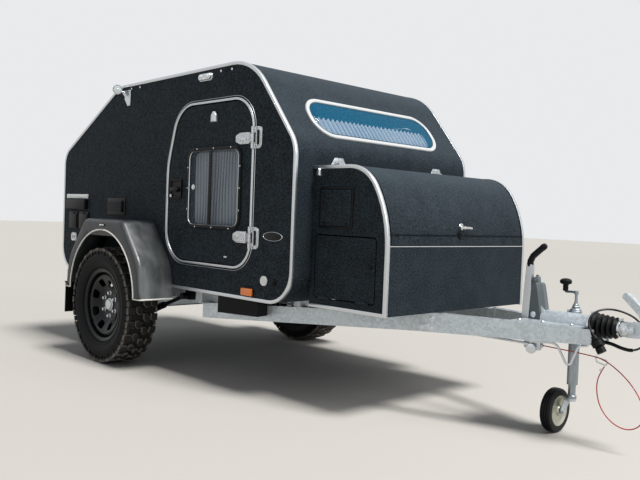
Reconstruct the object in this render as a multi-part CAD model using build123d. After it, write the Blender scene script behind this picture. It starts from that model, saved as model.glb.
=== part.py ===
"""Off-road teardrop trailer: a small sandwich-panel cabin with a front locker on a V drawbar.

Millimetres. X runs forward from the axle, Y to the trailer's left, Z up from the ground.
Every size below is a real size. At the end all pieces are moved along X, so that the
origin lies on the ground under the middle of the trailer's length.
"""
from build123d import *
from math import atan2, cos, pi, radians, sin, tan
import os

RIGHT, LEFT = -1, 1
SIDES = (("right", RIGHT), ("left", LEFT))

# Cabin shell
cabin_half_width = 690.0
wall = 28.0
cabin_bottom = 496.0
rear_face_x = -935.0
roof_rear_x = -192.0
roof_front_x = 1145.0
roof_front_height = 1727.0
roof_rear_height = roof_front_height - 17.0
front_face_x = 1496.0
front_slope_foot = roof_front_height - 444.0
rear_slope_foot = roof_rear_height - 403.0
rear_bottom_radius = 170.0
front_bottom_radius = 165.0
rear_bend_radius = 130.0
hatch_bend_radius = 200.0
roof_front_radius = 330.0
front_bend_radius = 180.0
trim_band = 14.0
trim_thickness = 3.0
moving_gap = 6.0
fit_gap = 0.3

# Tailgate of the rear kitchen
hatch_hinge_x = -150.0
hatch_hinge_rise = 8.966
hatch_hinge_y = (-450.0, 0.0, 450.0)
hatch_bottom = 672.0
bulkhead_x = -330.0
worktop_height = 1020.0
worktop_front_gap = 45.0
sheet = 15.0
shelf_height = rear_slope_foot + 23.0
shelf_depth = 180.0
cupboard_door_gap = 30.0
cupboard_side_gap = 32.0
cupboard_door_z = (720.0, 975.0)

# Side doors
door_front_x = 1173.0
door_rear_x = 403.0
door_lean_x = 500.0
door_top = roof_front_height - 197.0
door_lean_height = door_top - 330.0
door_bottom = 654.0
door_top_rear_radius = 180.0
door_top_front_radius = 160.0
door_bottom_front_radius = 140.0
door_bottom_rear_radius = 180.0
seal_outside = 9.0
seal_inside = 4.0
seal_thickness = 3.0
door_hinge_x = 1182.0
door_hinge_offset = 14.0
door_hinge_heights = (door_bottom + 159.0, door_top - 209.0)
strap_half_height = 30.0
strap_x = (1032.0, 1146.0)
hinge_plate_x = (1192.0, 1262.0)
hinge_plate_half = 56.0
hinge_eye_radius = 9.0
hinge_eye_half = 24.0
lock_plate_x = (428.0, 546.0)
lock_plate_z = (1008.0, 1116.0)
lever_x = (446.0, 530.0)
lever_z = (1044.0, 1072.0)
catch_x = (800.0, 838.0)
catch_z = (door_top - 102.0, door_top - 48.0)
door_window_x = (600.0, 1085.0)
door_window_z = (door_bottom + 191.0, door_top - 242.0)
door_window_radius = 62.0

# Front window in the sloping face
window_half_width = 505.0
window_low = 62.0
window_high = 332.0
window_radius = 125.0
window_frame_width = 24.0
window_frame_proud = 10.0
pane_thickness = 5.0
pane_crown = 14.0
window_lip = 6.0
curtain_depth = 14.0

# Front locker
locker_half_width = cabin_half_width - 122.0
locker_wall = 20.0
locker_front_x = 1989.0
locker_top = front_slope_foot - 103.0
locker_curve_x = 1738.0
locker_curve_low = locker_top - 380.0
locker_top_radius = 200.0
lid_seam = locker_curve_low + 16.0
lid_rear_x = 1516.0
lid_hinge_x = 1520.0
lid_hinge_height = locker_top + 17.0
lid_hinge_y = 400.0
hinge_pin_radius = 4.0
hinge_bore_radius = 4.06
lid_strap_x = 1646.0
lid_handle_height = lid_seam + 89.0
lid_handle_x = (1998.0, 2012.0)
lid_handle_half = 52.0
hatch_frame_x = (1548.0, 1772.0)
hatch_frame_z = (locker_top - 300.0, locker_top - 104.0)
flap_x = (1525.0, 1925.0)
flap_z = (540.0, hatch_frame_z[0] - 30.0)
flap_radius = 22.0
flap_hinge = (-locker_half_width - 5.0, flap_z[0] + 3.0)
flap_hinge_x = (1600.0, 1850.0)

# Wheels and axle
wheel_centre_y = cabin_half_width + 108.0
tyre_radius = 350.0
tyre_width = 200.0
tread_radius = 337.0
lug_count = 26
rim_flange_radius = 220.5
rim_bead_radius = 203.0
rim_inset = 8.0
rim_lip = 7.0
rim_disc_inset = 62.0
stud_circle = 69.85
axle_tube_size = 80.0
axle_tube_x = 165.0
stub_radius = 24.0
bearing_clearance = 0.06
drum_radius = 118.0

# Mudguards
guard_centre_x = 27.0
guard_outer_y = wheel_centre_y + 110.0
guard_top = 870.0
guard_foot = 432.0
guard_half_top = 226.0
guard_half_foot = 458.0
guard_skin = 4.0
arch_radius = 385.0
arch_centre_height = 420.0
flap_foot = 260.0

# Chassis and drawbar
rail_y = cabin_half_width - 150.0
rail_width = 50.0
rail_low = 424.0
rail_rear_x = -880.0
bolster_x = (640.0, 700.0)
steel = 4.0
vee_rear = (655.0, rail_y + 60.0)
vee_front = (2720.0, 72.0)
vee_flange = 45.0
vee_low_rear = 336.0
vee_low_lap = 408.0
vee_lap_x = 1950.0
rear_beam_end_x = 2030.0
front_beam_start_low_x = 1950.0
front_beam_start_top_x = 2022.0

# Rear bar
rear_bar_x = (-962.0, -905.0)
rear_bar_half = cabin_half_width - 50.0
rear_bar_z = (394.0, 492.0)
rail_box_x = (830.0, 1090.0)
rail_box_low = 392.0
brake_rod_z = 388.0
cross_member_x = (-820.0, -330.0)
cross_member_width = 50.0
bolster_half = cabin_half_width - 50.0
damper_low = (40.0, 268.0)
damper_high = (560.0, 452.0)
arm_y = (wheel_centre_y - 198.0, wheel_centre_y - 158.0)
damper_y = (arm_y[1], arm_y[1] + 44.0)

# Overrun coupling
coupling_height = 512.0
front_beam_top = coupling_height - 10.0
front_beam_low_front = coupling_height - 76.0
housing_x = (2450.0, 2672.0)
housing_radius = 42.0
base_plate = 6.0
draw_tube_radius = 25.0
draw_tube_end_x = 2842.0
bellows_x = (2672.0, 2808.0)
bellows_radius = 54.0
bellows_nose_radius = 40.0
bellows_folds = 5
ball_x = 2962.0
ball_radius = 25.3
ball_height = coupling_height - 34.0
cup_radius = 36.0

# Jockey wheel
jockey_x = 2560.0
jockey_y = 75.0
jockey_tube_radius = 24.0
jockey_bore = 21.6
jockey_leg_radius = 21.5
jockey_tube_low = 222.0
jockey_tube_high = 560.0
jockey_leg_top = 385.0
jockey_wheel_radius = 100.0
jockey_wheel_width = 50.0
jockey_trail = 34.0
jockey_side = 60.0
jockey_pin_radius = 8.0
jockey_head = 160.0

# Cables: places where they start and end, and their thickness
plug_top = (2724.0, -100.0, 494.0)
plug_tip = (2774.0, -100.0, 416.0)
electric_diameter = 9.0
breakaway_diameter = 5.0
hook_place = (2696.0, 0.0, 380.0)
electric_route = (
    (2722.0, 0.0, 446.0), (2760.0, 0.0, 446.0), (2808.0, 2.0, 430.0), (2852.0, 14.0, 424.0),
    (2884.0, 38.0, 444.0), (2888.0, 60.0, 484.0), (2866.0, 70.0, 528.0), (2830.0, 58.0, 562.0),
    (2794.0, 26.0, 582.0), (2760.0, -16.0, 592.0), (2729.0, -58.0, 586.0), (2708.0, -88.0, 560.0),
    (2706.0, -99.0, 524.0), (2724.0, -100.0, 494.0),
)
breakaway_route = (
    (2450.0, 0.0, 388.0), (2690.0, 0.0, 381.0), (2750.0, -4.0, 366.0), (2806.0, -10.0, 336.0),
    (2856.0, -18.0, 300.0), (2898.0, -26.0, 256.0), (2928.0, -34.0, 206.0), (2934.0, -41.0, 158.0),
    (2910.0, -46.0, 122.0), (2868.0, -48.0, 106.0), (2822.0, -48.0, 114.0), (2780.0, -46.0, 140.0),
    (2748.0, -42.0, 178.0), (2730.0, -36.0, 222.0), (2722.0, -28.0, 268.0), (2727.0, -16.0, 310.0),
    (2740.0, 0.0, 342.0),
)

# Ends of the whole trailer
rear_end_x = -985.0
nose_x = 3003.0
origin_x = (rear_end_x + nose_x) / 2


def outline(*corners):
    """A closed flat shape from (x, z, radius) corners, each rounded by its own radius."""
    points = [(x, z) for x, z, radius in corners]
    radii = [radius for x, z, radius in corners]
    return make_face(FilletPolyline(*points, radius=radii, close=True))


def rounded_box(x_range, z_range, radius):
    """An upright rounded rectangle."""
    (x0, x1), (z0, z1) = x_range, z_range
    return outline((x0, z0, radius), (x0, z1, radius), (x1, z1, radius), (x1, z0, radius))


def across(shape, y_from, y_to):
    """The prism of an X-Z shape between two Y planes."""
    low, high = sorted((y_from, y_to))
    return extrude(Plane.XZ.offset(-high) * shape, amount=high - low)


def block(x_range, y_range, z_range):
    """A box given by its ranges along the three axes."""
    (x0, x1), (y0, y1), (z0, z1) = (sorted(pair) for pair in (x_range, y_range, z_range))
    size = (x1 - x0, y1 - y0, z1 - z0)
    return Pos((x0 + x1) / 2, (y0 + y1) / 2, (z0 + z1) / 2) * Box(*size)


def rod(start, end, radius):
    """A round bar between two points."""
    run = Vector(*end) - Vector(*start)
    plane = Plane(origin=start, z_dir=run)
    return extrude(plane * Circle(radius), amount=run.length)


def cabin_outline(offset_by=0.0):
    """The cabin's side outline."""
    shape = outline(
        (rear_face_x, cabin_bottom, rear_bottom_radius),
        (rear_face_x, rear_slope_foot, rear_bend_radius),
        (roof_rear_x, roof_rear_height, hatch_bend_radius),
        (roof_front_x, roof_front_height, roof_front_radius),
        (front_face_x, front_slope_foot, front_bend_radius),
        (front_face_x, cabin_bottom, front_bottom_radius),
    )
    return offset(shape, offset_by) if offset_by else shape


def door_outline(offset_by=0.0):
    """The side door's outline, along the middle of its seal."""
    shape = outline(
        (door_rear_x, door_bottom, door_bottom_rear_radius),
        (door_rear_x, door_lean_height, 400.0),
        (door_lean_x, door_top, door_top_rear_radius),
        (door_front_x, door_top, door_top_front_radius),
        (door_front_x, door_bottom, door_bottom_front_radius),
    )
    return offset(shape, offset_by) if offset_by else shape


def locker_outline(offset_by=0.0):
    """The locker's side outline, with a long quarter oval of two arcs at the front."""
    width = locker_front_x - locker_curve_x
    height = locker_top - locker_curve_low
    small = locker_top_radius
    large = (width**2 + height**2 - 2 * height * small) / (2 * (width - small))
    small_centre = Vector(locker_curve_x, locker_top - small)
    large_centre = Vector(locker_front_x - large, locker_curve_low)
    joint = small_centre + (small_centre - large_centre).normalized() * small
    top = Line((front_face_x, locker_top), (locker_curve_x, locker_top))
    upper = TangentArc(top @ 1, joint, tangent=(1, 0))
    lower = TangentArc(upper @ 1, (locker_front_x, locker_curve_low), tangent=upper % 1)
    front = Line(lower @ 1, (locker_front_x, cabin_bottom))
    base = Line(front @ 1, (front_face_x, cabin_bottom))
    back = Line(base @ 1, top @ 0)
    shape = make_face([top, upper, lower, front, base, back])
    return offset(shape, offset_by) if offset_by else shape


def edge_trim(shape_at, face_y, side):
    """An angle profile round a panel's edge: one leg on its face, one on its rim."""
    outer = across(shape_at(trim_thickness), side * (face_y - trim_band), side * (face_y + trim_thickness))
    core = across(shape_at(fit_gap), side * (face_y - trim_band), side * face_y)
    window = across(shape_at(-trim_band), side * face_y, side * (face_y + trim_thickness))
    return outer - core - window


# The parked plug's frame: origin at its nose, Z towards its cable
plug_frame = Plane(
    origin=plug_tip, x_dir=(0, 1, 0), z_dir=Vector(*plug_top) - Vector(*plug_tip)
)

# Slope of the front face, for the window that lies in it
slope_run = Vector(roof_front_x - front_face_x, 0, roof_front_height - front_slope_foot).normalized()
slope_out = Vector(-slope_run.Z, 0, slope_run.X) * -1
slope_plane = Plane(origin=(front_face_x, 0, front_slope_foot), x_dir=(0, 1, 0), z_dir=slope_out)


def window_outline(offset_by=0.0):
    """The front window's outline in the plane of the sloping face."""
    half = window_half_width + offset_by
    low, high = window_low - offset_by, window_high + offset_by
    radius = window_radius + offset_by
    shape = outline((-half, low, radius), (-half, high, radius), (half, high, radius), (half, low, radius))
    return shape


# The tailgate's hinge axis, a little above the roof line
roof_fall_share = (hatch_hinge_x - roof_rear_x) / (roof_front_x - roof_rear_x)
roof_at_hinge = roof_rear_height + (roof_front_height - roof_rear_height) * roof_fall_share
hatch_hinge_height = roof_at_hinge + hatch_hinge_rise

# Cabin panels
skin_half = cabin_half_width - wall
cabin_ring = across(cabin_outline() - cabin_outline(-wall), -skin_half, skin_half)
far = 4000.0
front_zone = block((roof_front_x - 160.0, far), (-far, far), (cabin_bottom + front_bottom_radius, far))
front_curve_zone = block((front_face_x - front_bottom_radius, far), (-far, far), (0, far))
hatch_zone = block((-far, hatch_hinge_x), (-far, far), (hatch_bottom, far))
floor_zone = block((-far, front_face_x - front_bottom_radius), (-far, far), (0, hatch_bottom - moving_gap))
front_wall = cabin_ring & (front_zone + front_curve_zone)
floor_panel = cabin_ring & floor_zone
roof_zone = block((hatch_hinge_x, roof_front_x - 160.0), (-far, far), (rear_slope_foot, far))
roof_panel = cabin_ring & roof_zone
hatch_half = skin_half - moving_gap
tailgate_ring = across(cabin_outline() - cabin_outline(-wall), -hatch_half, hatch_half)
tailgate = tailgate_ring & block((-far, hatch_hinge_x - moving_gap), (-far, far), (hatch_bottom, far))
window_cut = extrude(
    slope_plane * window_outline(-window_frame_width + window_lip + fit_gap), amount=80.0, both=True
)
front_wall = front_wall - window_cut


def side_wall(side):
    """A side panel with its door opening."""
    panel = across(cabin_outline(), side * skin_half, side * cabin_half_width)
    opening = across(door_outline(-seal_inside), side * (skin_half - 1), side * (cabin_half_width + 1))
    return panel - opening


def galley():
    """The kitchen's cross wall with its worktop, upper shelf and a base cupboard front."""
    inside = across(cabin_outline(-wall), -skin_half, skin_half)
    under_hatch = across(cabin_outline(-wall - moving_gap), -skin_half, skin_half)
    under_hatch += block((-far, far), (-far, far), (0, hatch_bottom))
    cross_wall = block((bulkhead_x, bulkhead_x + sheet), (-skin_half, skin_half), (0, far))
    cross_wall = cross_wall & inside & under_hatch
    depth_x = rear_face_x + wall + worktop_front_gap
    worktop = block((depth_x, bulkhead_x), (-skin_half, skin_half), (worktop_height - 25.0, worktop_height))
    shelf_z = (shelf_height, shelf_height + sheet)
    shelf = block((bulkhead_x - shelf_depth, bulkhead_x), (-skin_half, skin_half), shelf_z)
    cupboard = block(
        (depth_x + 20.0, depth_x + 35.0), (-skin_half, skin_half), (cabin_bottom, worktop_height)
    ) & inside
    door_width = (2 * (skin_half - cupboard_side_gap - cupboard_door_gap)) / 3
    door_y = -skin_half + cupboard_side_gap
    doors = [
        block((depth_x, depth_x + 60.0), (y, y + door_width), cupboard_door_z)
        for y in (door_y + number * (door_width + cupboard_door_gap) for number in range(3))
    ]
    for door in doors:
        cupboard = cupboard - door
    return cross_wall + worktop + shelf + cupboard


# Doors
def door_leaf(side):
    """The door's sandwich leaf with its window cut."""
    leaf = across(
        door_outline(-seal_inside - moving_gap), side * skin_half, side * cabin_half_width
    )
    cut = rounded_box(
        (door_window_x[0] + 10, door_window_x[1] - 10), (door_window_z[0] + 10, door_window_z[1] - 10),
        door_window_radius - 10,
    )
    return leaf - across(cut, side * (skin_half - 1), side * (cabin_half_width + 1))


def door_seal(side):
    """The pale rubber frame round the door opening."""
    ring = door_outline(seal_outside) - door_outline(-seal_inside)
    return across(ring, side * cabin_half_width, side * (cabin_half_width + seal_thickness))


def door_window(side):
    """The window's moulded frame: a flange on the leaf and a lip through its opening."""
    outer = rounded_box(door_window_x, door_window_z, door_window_radius)
    lip = rounded_box(
        (door_window_x[0] + 10.3, door_window_x[1] - 10.3),
        (door_window_z[0] + 10.3, door_window_z[1] - 10.3), door_window_radius - 10.3,
    )
    clear = rounded_box(
        (door_window_x[0] + 18, door_window_x[1] - 18),
        (door_window_z[0] + 18, door_window_z[1] - 18), door_window_radius - 18,
    )
    face = side * cabin_half_width
    flange = across(outer, face, face + side * 6.0)
    sleeve = across(lip, side * skin_half, face)
    frame = flange + sleeve - across(clear, side * (skin_half - 1), face + side * 7.0)
    return frame


def door_pane(side):
    """The acrylic pane in the window frame."""
    pane = rounded_box(
        (door_window_x[0] + 18, door_window_x[1] - 18),
        (door_window_z[0] + 18, door_window_z[1] - 18), door_window_radius - 18,
    )
    face = side * cabin_half_width
    return across(pane, face - side * 2.0, face + side * 3.0)


def door_curtain(side):
    """The pleated curtain behind the pane, as a plain panel."""
    cloth = rounded_box(
        (door_window_x[0] + 4, door_window_x[1] - 4), (door_window_z[0] + 4, door_window_z[1] - 4), 20.0
    )
    return across(cloth, side * (skin_half - 14.0), side * (skin_half - 0.3))


def door_hardware(side):
    """Strap hinges, the lock plate with its lever, and the stay catch at the top of one door."""
    face = side * cabin_half_width
    axis_y = side * (cabin_half_width + door_hinge_offset)
    parts = None
    for height in door_hinge_heights:
        pad = block(
            strap_x, (face, face + side * 9.0),
            (height - strap_half_height, height + strap_half_height),
        )
        bridge = block(
            (strap_x[1] - 6.0, door_hinge_x - 6.0), (face + side * 6.0, face + side * 12.0),
            (height - hinge_eye_half, height + hinge_eye_half),
        )
        eye = Pos(door_hinge_x, axis_y, height) * Cylinder(hinge_eye_radius, 2 * hinge_eye_half)
        web = block(
            (door_hinge_x - hinge_eye_radius, door_hinge_x), (face + side * 6.0, axis_y),
            (height - hinge_eye_half, height + hinge_eye_half),
        )
        bore = Pos(door_hinge_x, axis_y, height) * Cylinder(hinge_bore_radius, 60.0)
        strap = pad + bridge + eye + web - bore
        parts = strap if parts is None else parts + strap
    plate = across(rounded_box(lock_plate_x, lock_plate_z, 12.0), face, face + side * 10.0)
    lever = across(rounded_box(lever_x, lever_z, 12.0), face + side * 10.0, face + side * 26.0)
    catch = across(rounded_box(catch_x, catch_z, 14.0), face, face + side * 16.0)
    return parts + plate + lever + catch


def hinge_brackets():
    """The fixed halves of all hinges with their pins: doors, locker lid and tailgate."""
    pieces = []
    for name, side in SIDES:
        face = side * cabin_half_width
        axis_y = side * (cabin_half_width + door_hinge_offset)
        for height in door_hinge_heights:
            low, high = height - hinge_plate_half, height + hinge_plate_half
            bracket = block(hinge_plate_x, (face, face + side * 8.0), (low, high))
            eye_low, eye_high = height - hinge_eye_half - 0.5, height + hinge_eye_half + 0.5
            for eye_from, eye_to in ((low, eye_low), (eye_high, high)):
                bracket += Pos(door_hinge_x, axis_y, (eye_from + eye_to) / 2) * Cylinder(
                    hinge_eye_radius, eye_to - eye_from
                )
                bracket += block(
                    (door_hinge_x, hinge_plate_x[0] + 8.0), (face + side * 3.0, face + side * 8.0),
                    (eye_from, eye_to),
                )
            bracket += Pos(door_hinge_x, axis_y, height) * Cylinder(hinge_pin_radius, high - low - 12.0)
            pieces.append(bracket)
    for side in (RIGHT, LEFT):
        y = side * lid_hinge_y
        leaf_z = (locker_top + 4.0, locker_top + 60.0)
        leaf = block((front_face_x, front_face_x + 5.0), (y - 26.0, y + 26.0), leaf_z)
        for offset_y in (-19.0, 19.0):
            arm = block(
                (front_face_x, lid_hinge_x), (y + offset_y - 6.0, y + offset_y + 6.0),
                (lid_hinge_height - 6.0, lid_hinge_height + 6.0),
            )
            leaf += arm
        leaf += Pos(lid_hinge_x, y, lid_hinge_height) * Rot(90, 0, 0) * Cylinder(hinge_pin_radius, 50.0)
        pieces.append(leaf)
    for y in hatch_hinge_y:
        skin = across(cabin_outline(5.0) - cabin_outline(fit_gap), y - 28.0, y + 28.0)
        leaf = skin & block((hatch_hinge_x + 12.0, hatch_hinge_x + 60.0), (-far, far), (rear_slope_foot, far))
        for offset_y in (-21.5, 21.5):
            low_y, high_y = y + offset_y - 6.5, y + offset_y + 6.5
            leaf += across(Pos(hatch_hinge_x, hatch_hinge_height) * Circle(8.0), low_y, high_y)
            leaf += block(
                (hatch_hinge_x, hatch_hinge_x + 24.0), (low_y, high_y),
                (roof_rear_height + 3.0, hatch_hinge_height + 2.0),
            )
        leaf += across(Pos(hatch_hinge_x, hatch_hinge_height) * Circle(hinge_pin_radius), y - 28.0, y + 28.0)
        pieces.append(leaf)
    return Compound(children=pieces)


# Front locker
def locker_shell():
    """The locker's floor, two cheeks, fixed lower front, and the strip at the lid's hinge."""
    half = locker_half_width
    ring = across(locker_outline() - locker_outline(-locker_wall), -half, half)
    low_front = ring & block((front_face_x, far), (-far, far), (0, lid_seam - moving_gap / 2))
    low_front -= block((0, front_face_x + locker_wall), (-far, far), (cabin_bottom + locker_wall, far))
    strip_x = (front_face_x, lid_rear_x - moving_gap)
    rear_strip = ring & block(strip_x, (-far, far), (locker_top - locker_wall, far))
    cheeks = across(locker_outline(), -half, -half + locker_wall)
    cheeks += across(locker_outline(), half - locker_wall, half)
    shell = low_front + rear_strip + cheeks
    shell -= across(rounded_box(flap_x, flap_z, flap_radius), -half - 1, -half + locker_wall + 1)
    axis_y, axis_z = flap_hinge
    for x in flap_hinge_x:
        for low_x in (x - 34.0, x + 20.5):
            shell += flap_knuckle(low_x, low_x + 13.5)
            shell += block((low_x, low_x + 13.5), (axis_y, -half), (axis_z - 10.0, axis_z))
        shell += rod((x - 34.0, axis_y, axis_z), (x + 34.0, axis_y, axis_z), 2.5)
    return shell


def flap_knuckle(x_from, x_to):
    """A length of the flap's hinge barrel."""
    axis_y, axis_z = flap_hinge
    return rod((x_from, axis_y, axis_z), (x_to, axis_y, axis_z), 5.0)


def locker_lid():
    """The lid: one curved skin from its hinge strip over the top and down the front."""
    half = locker_half_width - locker_wall - moving_gap
    ring = across(locker_outline() - locker_outline(-locker_wall), -half, half)
    keep = block((lid_rear_x, far), (-far, far), (lid_seam + moving_gap / 2, far))
    return ring & keep


def lid_fittings():
    """Chrome strap hinges and the T handle with its round lock."""
    parts = None
    for side in (RIGHT, LEFT):
        y = side * lid_hinge_y
        strap = block((lid_hinge_x + 4.0, lid_strap_x), (y - 24.0, y + 24.0), (locker_top, locker_top + 6.0))
        web = block(
            (lid_hinge_x, lid_hinge_x + 10.0), (y - 12.0, y + 12.0), (locker_top + 1.0, lid_hinge_height)
        )
        eye = Pos(lid_hinge_x, y, lid_hinge_height) * Rot(90, 0, 0) * Cylinder(8.5, 24.0)
        strap = strap + web + eye
        strap -= Pos(lid_hinge_x, y, lid_hinge_height) * Rot(90, 0, 0) * Cylinder(hinge_bore_radius, 60.0)
        parts = strap if parts is None else parts + strap
    rose_x = (lid_handle_x[0] - 32.0, lid_handle_x[0] + 2.0)
    rose = Pos(rose_x[0], 0, lid_handle_height) * Rot(0, 90, 0) * Cylinder(
        22.0, rose_x[1] - rose_x[0], align=(Align.CENTER, Align.CENTER, Align.MIN)
    )
    rose -= across(locker_outline(fit_gap), -30.0, 30.0)
    bar_z = (lid_handle_height - 9.0, lid_handle_height + 9.0)
    bar = block(lid_handle_x, (-lid_handle_half, lid_handle_half), bar_z)
    parts += rose + bar
    return parts


def locker_flap():
    """The side flap, hinged along its lower edge."""
    (x0, x1), (z0, z1) = flap_x, flap_z
    leaf_x, leaf_z = (x0 + moving_gap, x1 - moving_gap), (z0 + moving_gap, z1 - moving_gap)
    shape = rounded_box(leaf_x, leaf_z, flap_radius - moving_gap)
    leaf = across(shape, -locker_half_width, -locker_half_width + locker_wall)
    axis_y, axis_z = flap_hinge
    for x in flap_hinge_x:
        leaf += flap_knuckle(x - 20.0, x + 20.0)
        leaf += block((x - 20.0, x + 20.0), (axis_y, -locker_half_width), (axis_z, axis_z + 12.0))
        leaf -= rod((x - 21.0, axis_y, axis_z), (x + 21.0, axis_y, axis_z), 2.56)
    return leaf


# Wheels
def tyre(side):
    """A mud tyre: a bellied carcass with staggered shoulder and centre lugs."""
    half = tyre_width / 2
    bead = half - rim_inset - rim_lip - fit_gap
    profile = [
        (rim_bead_radius, bead), (rim_flange_radius + 1.5, bead), (rim_flange_radius + 9, half - 3),
        (rim_bead_radius + 78, half), (tread_radius - 22, half - 6), (tread_radius, half - 18),
    ]
    section = [(r, -y) for r, y in profile] + [(r, y) for r, y in reversed(profile)]
    face = make_face(Plane.XY * Polyline(*section, close=True))
    carcass = revolve(face, Axis.Y)
    pitch = 360.0 / lug_count
    depth = tyre_radius - tread_radius + 6.0
    middle = tyre_radius - depth / 2
    lugs = []
    # middle of the row, width, length and shift of the lugs in pitches
    for row_y, width, length, shift in (
        (-half + 24.0, 46.0, 46.0, 0.0),
        (-26.0, 40.0, 40.0, 0.5),
        (26.0, 40.0, 40.0, 0.0),
        (half - 24.0, 46.0, 46.0, 0.5),
    ):
        for number in range(lug_count):
            turn = (number + shift) * pitch
            lugs.append(Rot(0, turn, 0) * Pos(0, row_y, shift - middle) * Box(length, width, depth))
    solid = carcass + lugs
    return Pos(0, side * wheel_centre_y, tyre_radius) * solid


def rim(side):
    """A steel rim with a perforated disc, its hub, brake drum and wheel nuts."""
    half = tyre_width / 2
    outer = half - rim_inset
    disc = outer - rim_disc_inset
    seat = rim_bead_radius - fit_gap
    shell = [
        (rim_flange_radius, -outer), (rim_flange_radius, -outer + rim_lip), (seat, -outer + rim_lip),
        (seat, -outer + 38), (178.0, -outer + 62), (178.0, disc - 16),
        (seat, outer - 34), (seat, outer - rim_lip),
        (rim_flange_radius, outer - rim_lip), (rim_flange_radius, outer), (rim_bead_radius - 10, outer),
        (rim_bead_radius - 10, outer - 30), (168.0, disc - 8), (168.0, -outer + 58),
        (rim_bead_radius - 10, -outer + 34), (rim_bead_radius - 10, -outer),
    ]
    barrel = revolve(make_face(Polyline(*shell, close=True)), Axis.Y)
    plate = revolve(make_face(Polyline(
        (0, disc - 14), (170.0, disc - 26), (170.0, disc - 18), (118.0, disc - 2), (92.0, disc + 4),
        (40.0, disc + 4), (40.0, disc + 32), (30.0, disc + 38), (0, disc + 38), close=True,
    )), Axis.Y)
    drum = Pos(0, disc - 14, 0) * Rot(90, 0, 0) * Cylinder(
        drum_radius, 74.0, align=(Align.CENTER, Align.CENTER, Align.MIN)
    )
    body = barrel + plate + drum
    holes = [
        Rot(0, 45.0 * number, 0) * Pos(0, disc - 10, 138.0) * Rot(90, 0, 0) * Cylinder(17.0, 60.0)
        for number in range(8)
    ]
    body = body - holes
    nuts = [
        Rot(0, 60.0 * number + 30.0, 0) * Pos(0, disc + 12, stud_circle) * Rot(90, 0, 0)
        * extrude(RegularPolygon(11.0, 6), amount=9.0, both=True)
        for number in range(6)
    ]
    body = body + nuts
    body -= Pos(0, disc - 90, 0) * Rot(-90, 0, 0) * Cylinder(
        stub_radius + bearing_clearance, 100.0, align=(Align.CENTER, Align.CENTER, Align.MIN)
    )
    if side == RIGHT:
        body = mirror(body, Plane.XZ)
    return Pos(0, side * wheel_centre_y, tyre_radius) * body


def axle():
    """A rubber torsion axle: cross tube, trailing arms, backing plates and stub axles."""
    tube_z = rail_low - axle_tube_size / 2
    tube = Pos(axle_tube_x, 0, tube_z) * Box(axle_tube_size, 2 * arm_y[0], axle_tube_size)
    solid = fillet(tube.edges().filter_by(Axis.Y), 12.0)
    disc = tyre_width / 2 - rim_inset - rim_disc_inset
    drum_inner = wheel_centre_y + disc - 14 - 74.0
    for name, side in SIDES:
        arm = outline(
            (axle_tube_x + 46.0, tube_z + 44.0, 40.0), (axle_tube_x + 46.0, tube_z - 44.0, 40.0),
            (-44.0, tyre_radius - 42.0, 36.0), (-44.0, tyre_radius + 42.0, 36.0),
        )
        solid += across(arm, side * arm_y[0], side * arm_y[1])
        disc_shape = Pos(0, tyre_radius) * Circle(drum_radius + 8.0)
        solid += across(disc_shape, side * (drum_inner - 14.0), side * (drum_inner - 8.0))
        boss, stub = Circle(38.0), Circle(stub_radius)
        solid += across(Pos(0, tyre_radius) * boss, side * arm_y[1], side * (drum_inner - 8.0))
        solid += across(Pos(0, tyre_radius) * stub, side * arm_y[1], side * (drum_inner + 60.0))
        bracket_x, bracket_z = (damper_low[0] - 22.0, damper_low[0] + 22.0), (damper_low[1] - 18.0, 345.0)
        solid += block(bracket_x, (side * (arm_y[0] + 12.0), side * arm_y[1]), bracket_z)
    return solid


def shock_absorbers():
    """Two dampers from the trailing arms up to brackets behind the bolster."""
    pieces = []
    for name, side in SIDES:
        y = side * (damper_y[0] + damper_y[1]) / 2
        (low_x, low_z), (high_x, high_z) = damper_low, damper_high
        low, high = Vector(low_x, y, low_z), Vector(high_x, y, high_z)
        run = (high - low).normalized()
        body = rod(low + run * 40.0, low + run * 330.0, 20.0)
        shaft = rod(low + run * 320.0, high - run * 10.0, 11.0)
        eyes = [
            across(Pos(point.X, point.Z) * Circle(18.0), side * damper_y[0], side * damper_y[1])
            for point in (low, high)
        ]
        neck = rod(low + run * 10.0, low + run * 50.0, 11.0)
        rail_face = side * (rail_y + rail_width)
        upper_x, upper_z = (high_x - 24.0, high_x + 24.0), (high_z - 22.0, cabin_bottom)
        upper = block(upper_x, (rail_face, side * damper_y[0]), upper_z)
        pieces.append(body + shaft + eyes + neck + upper)
    return Compound(children=pieces)


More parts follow.
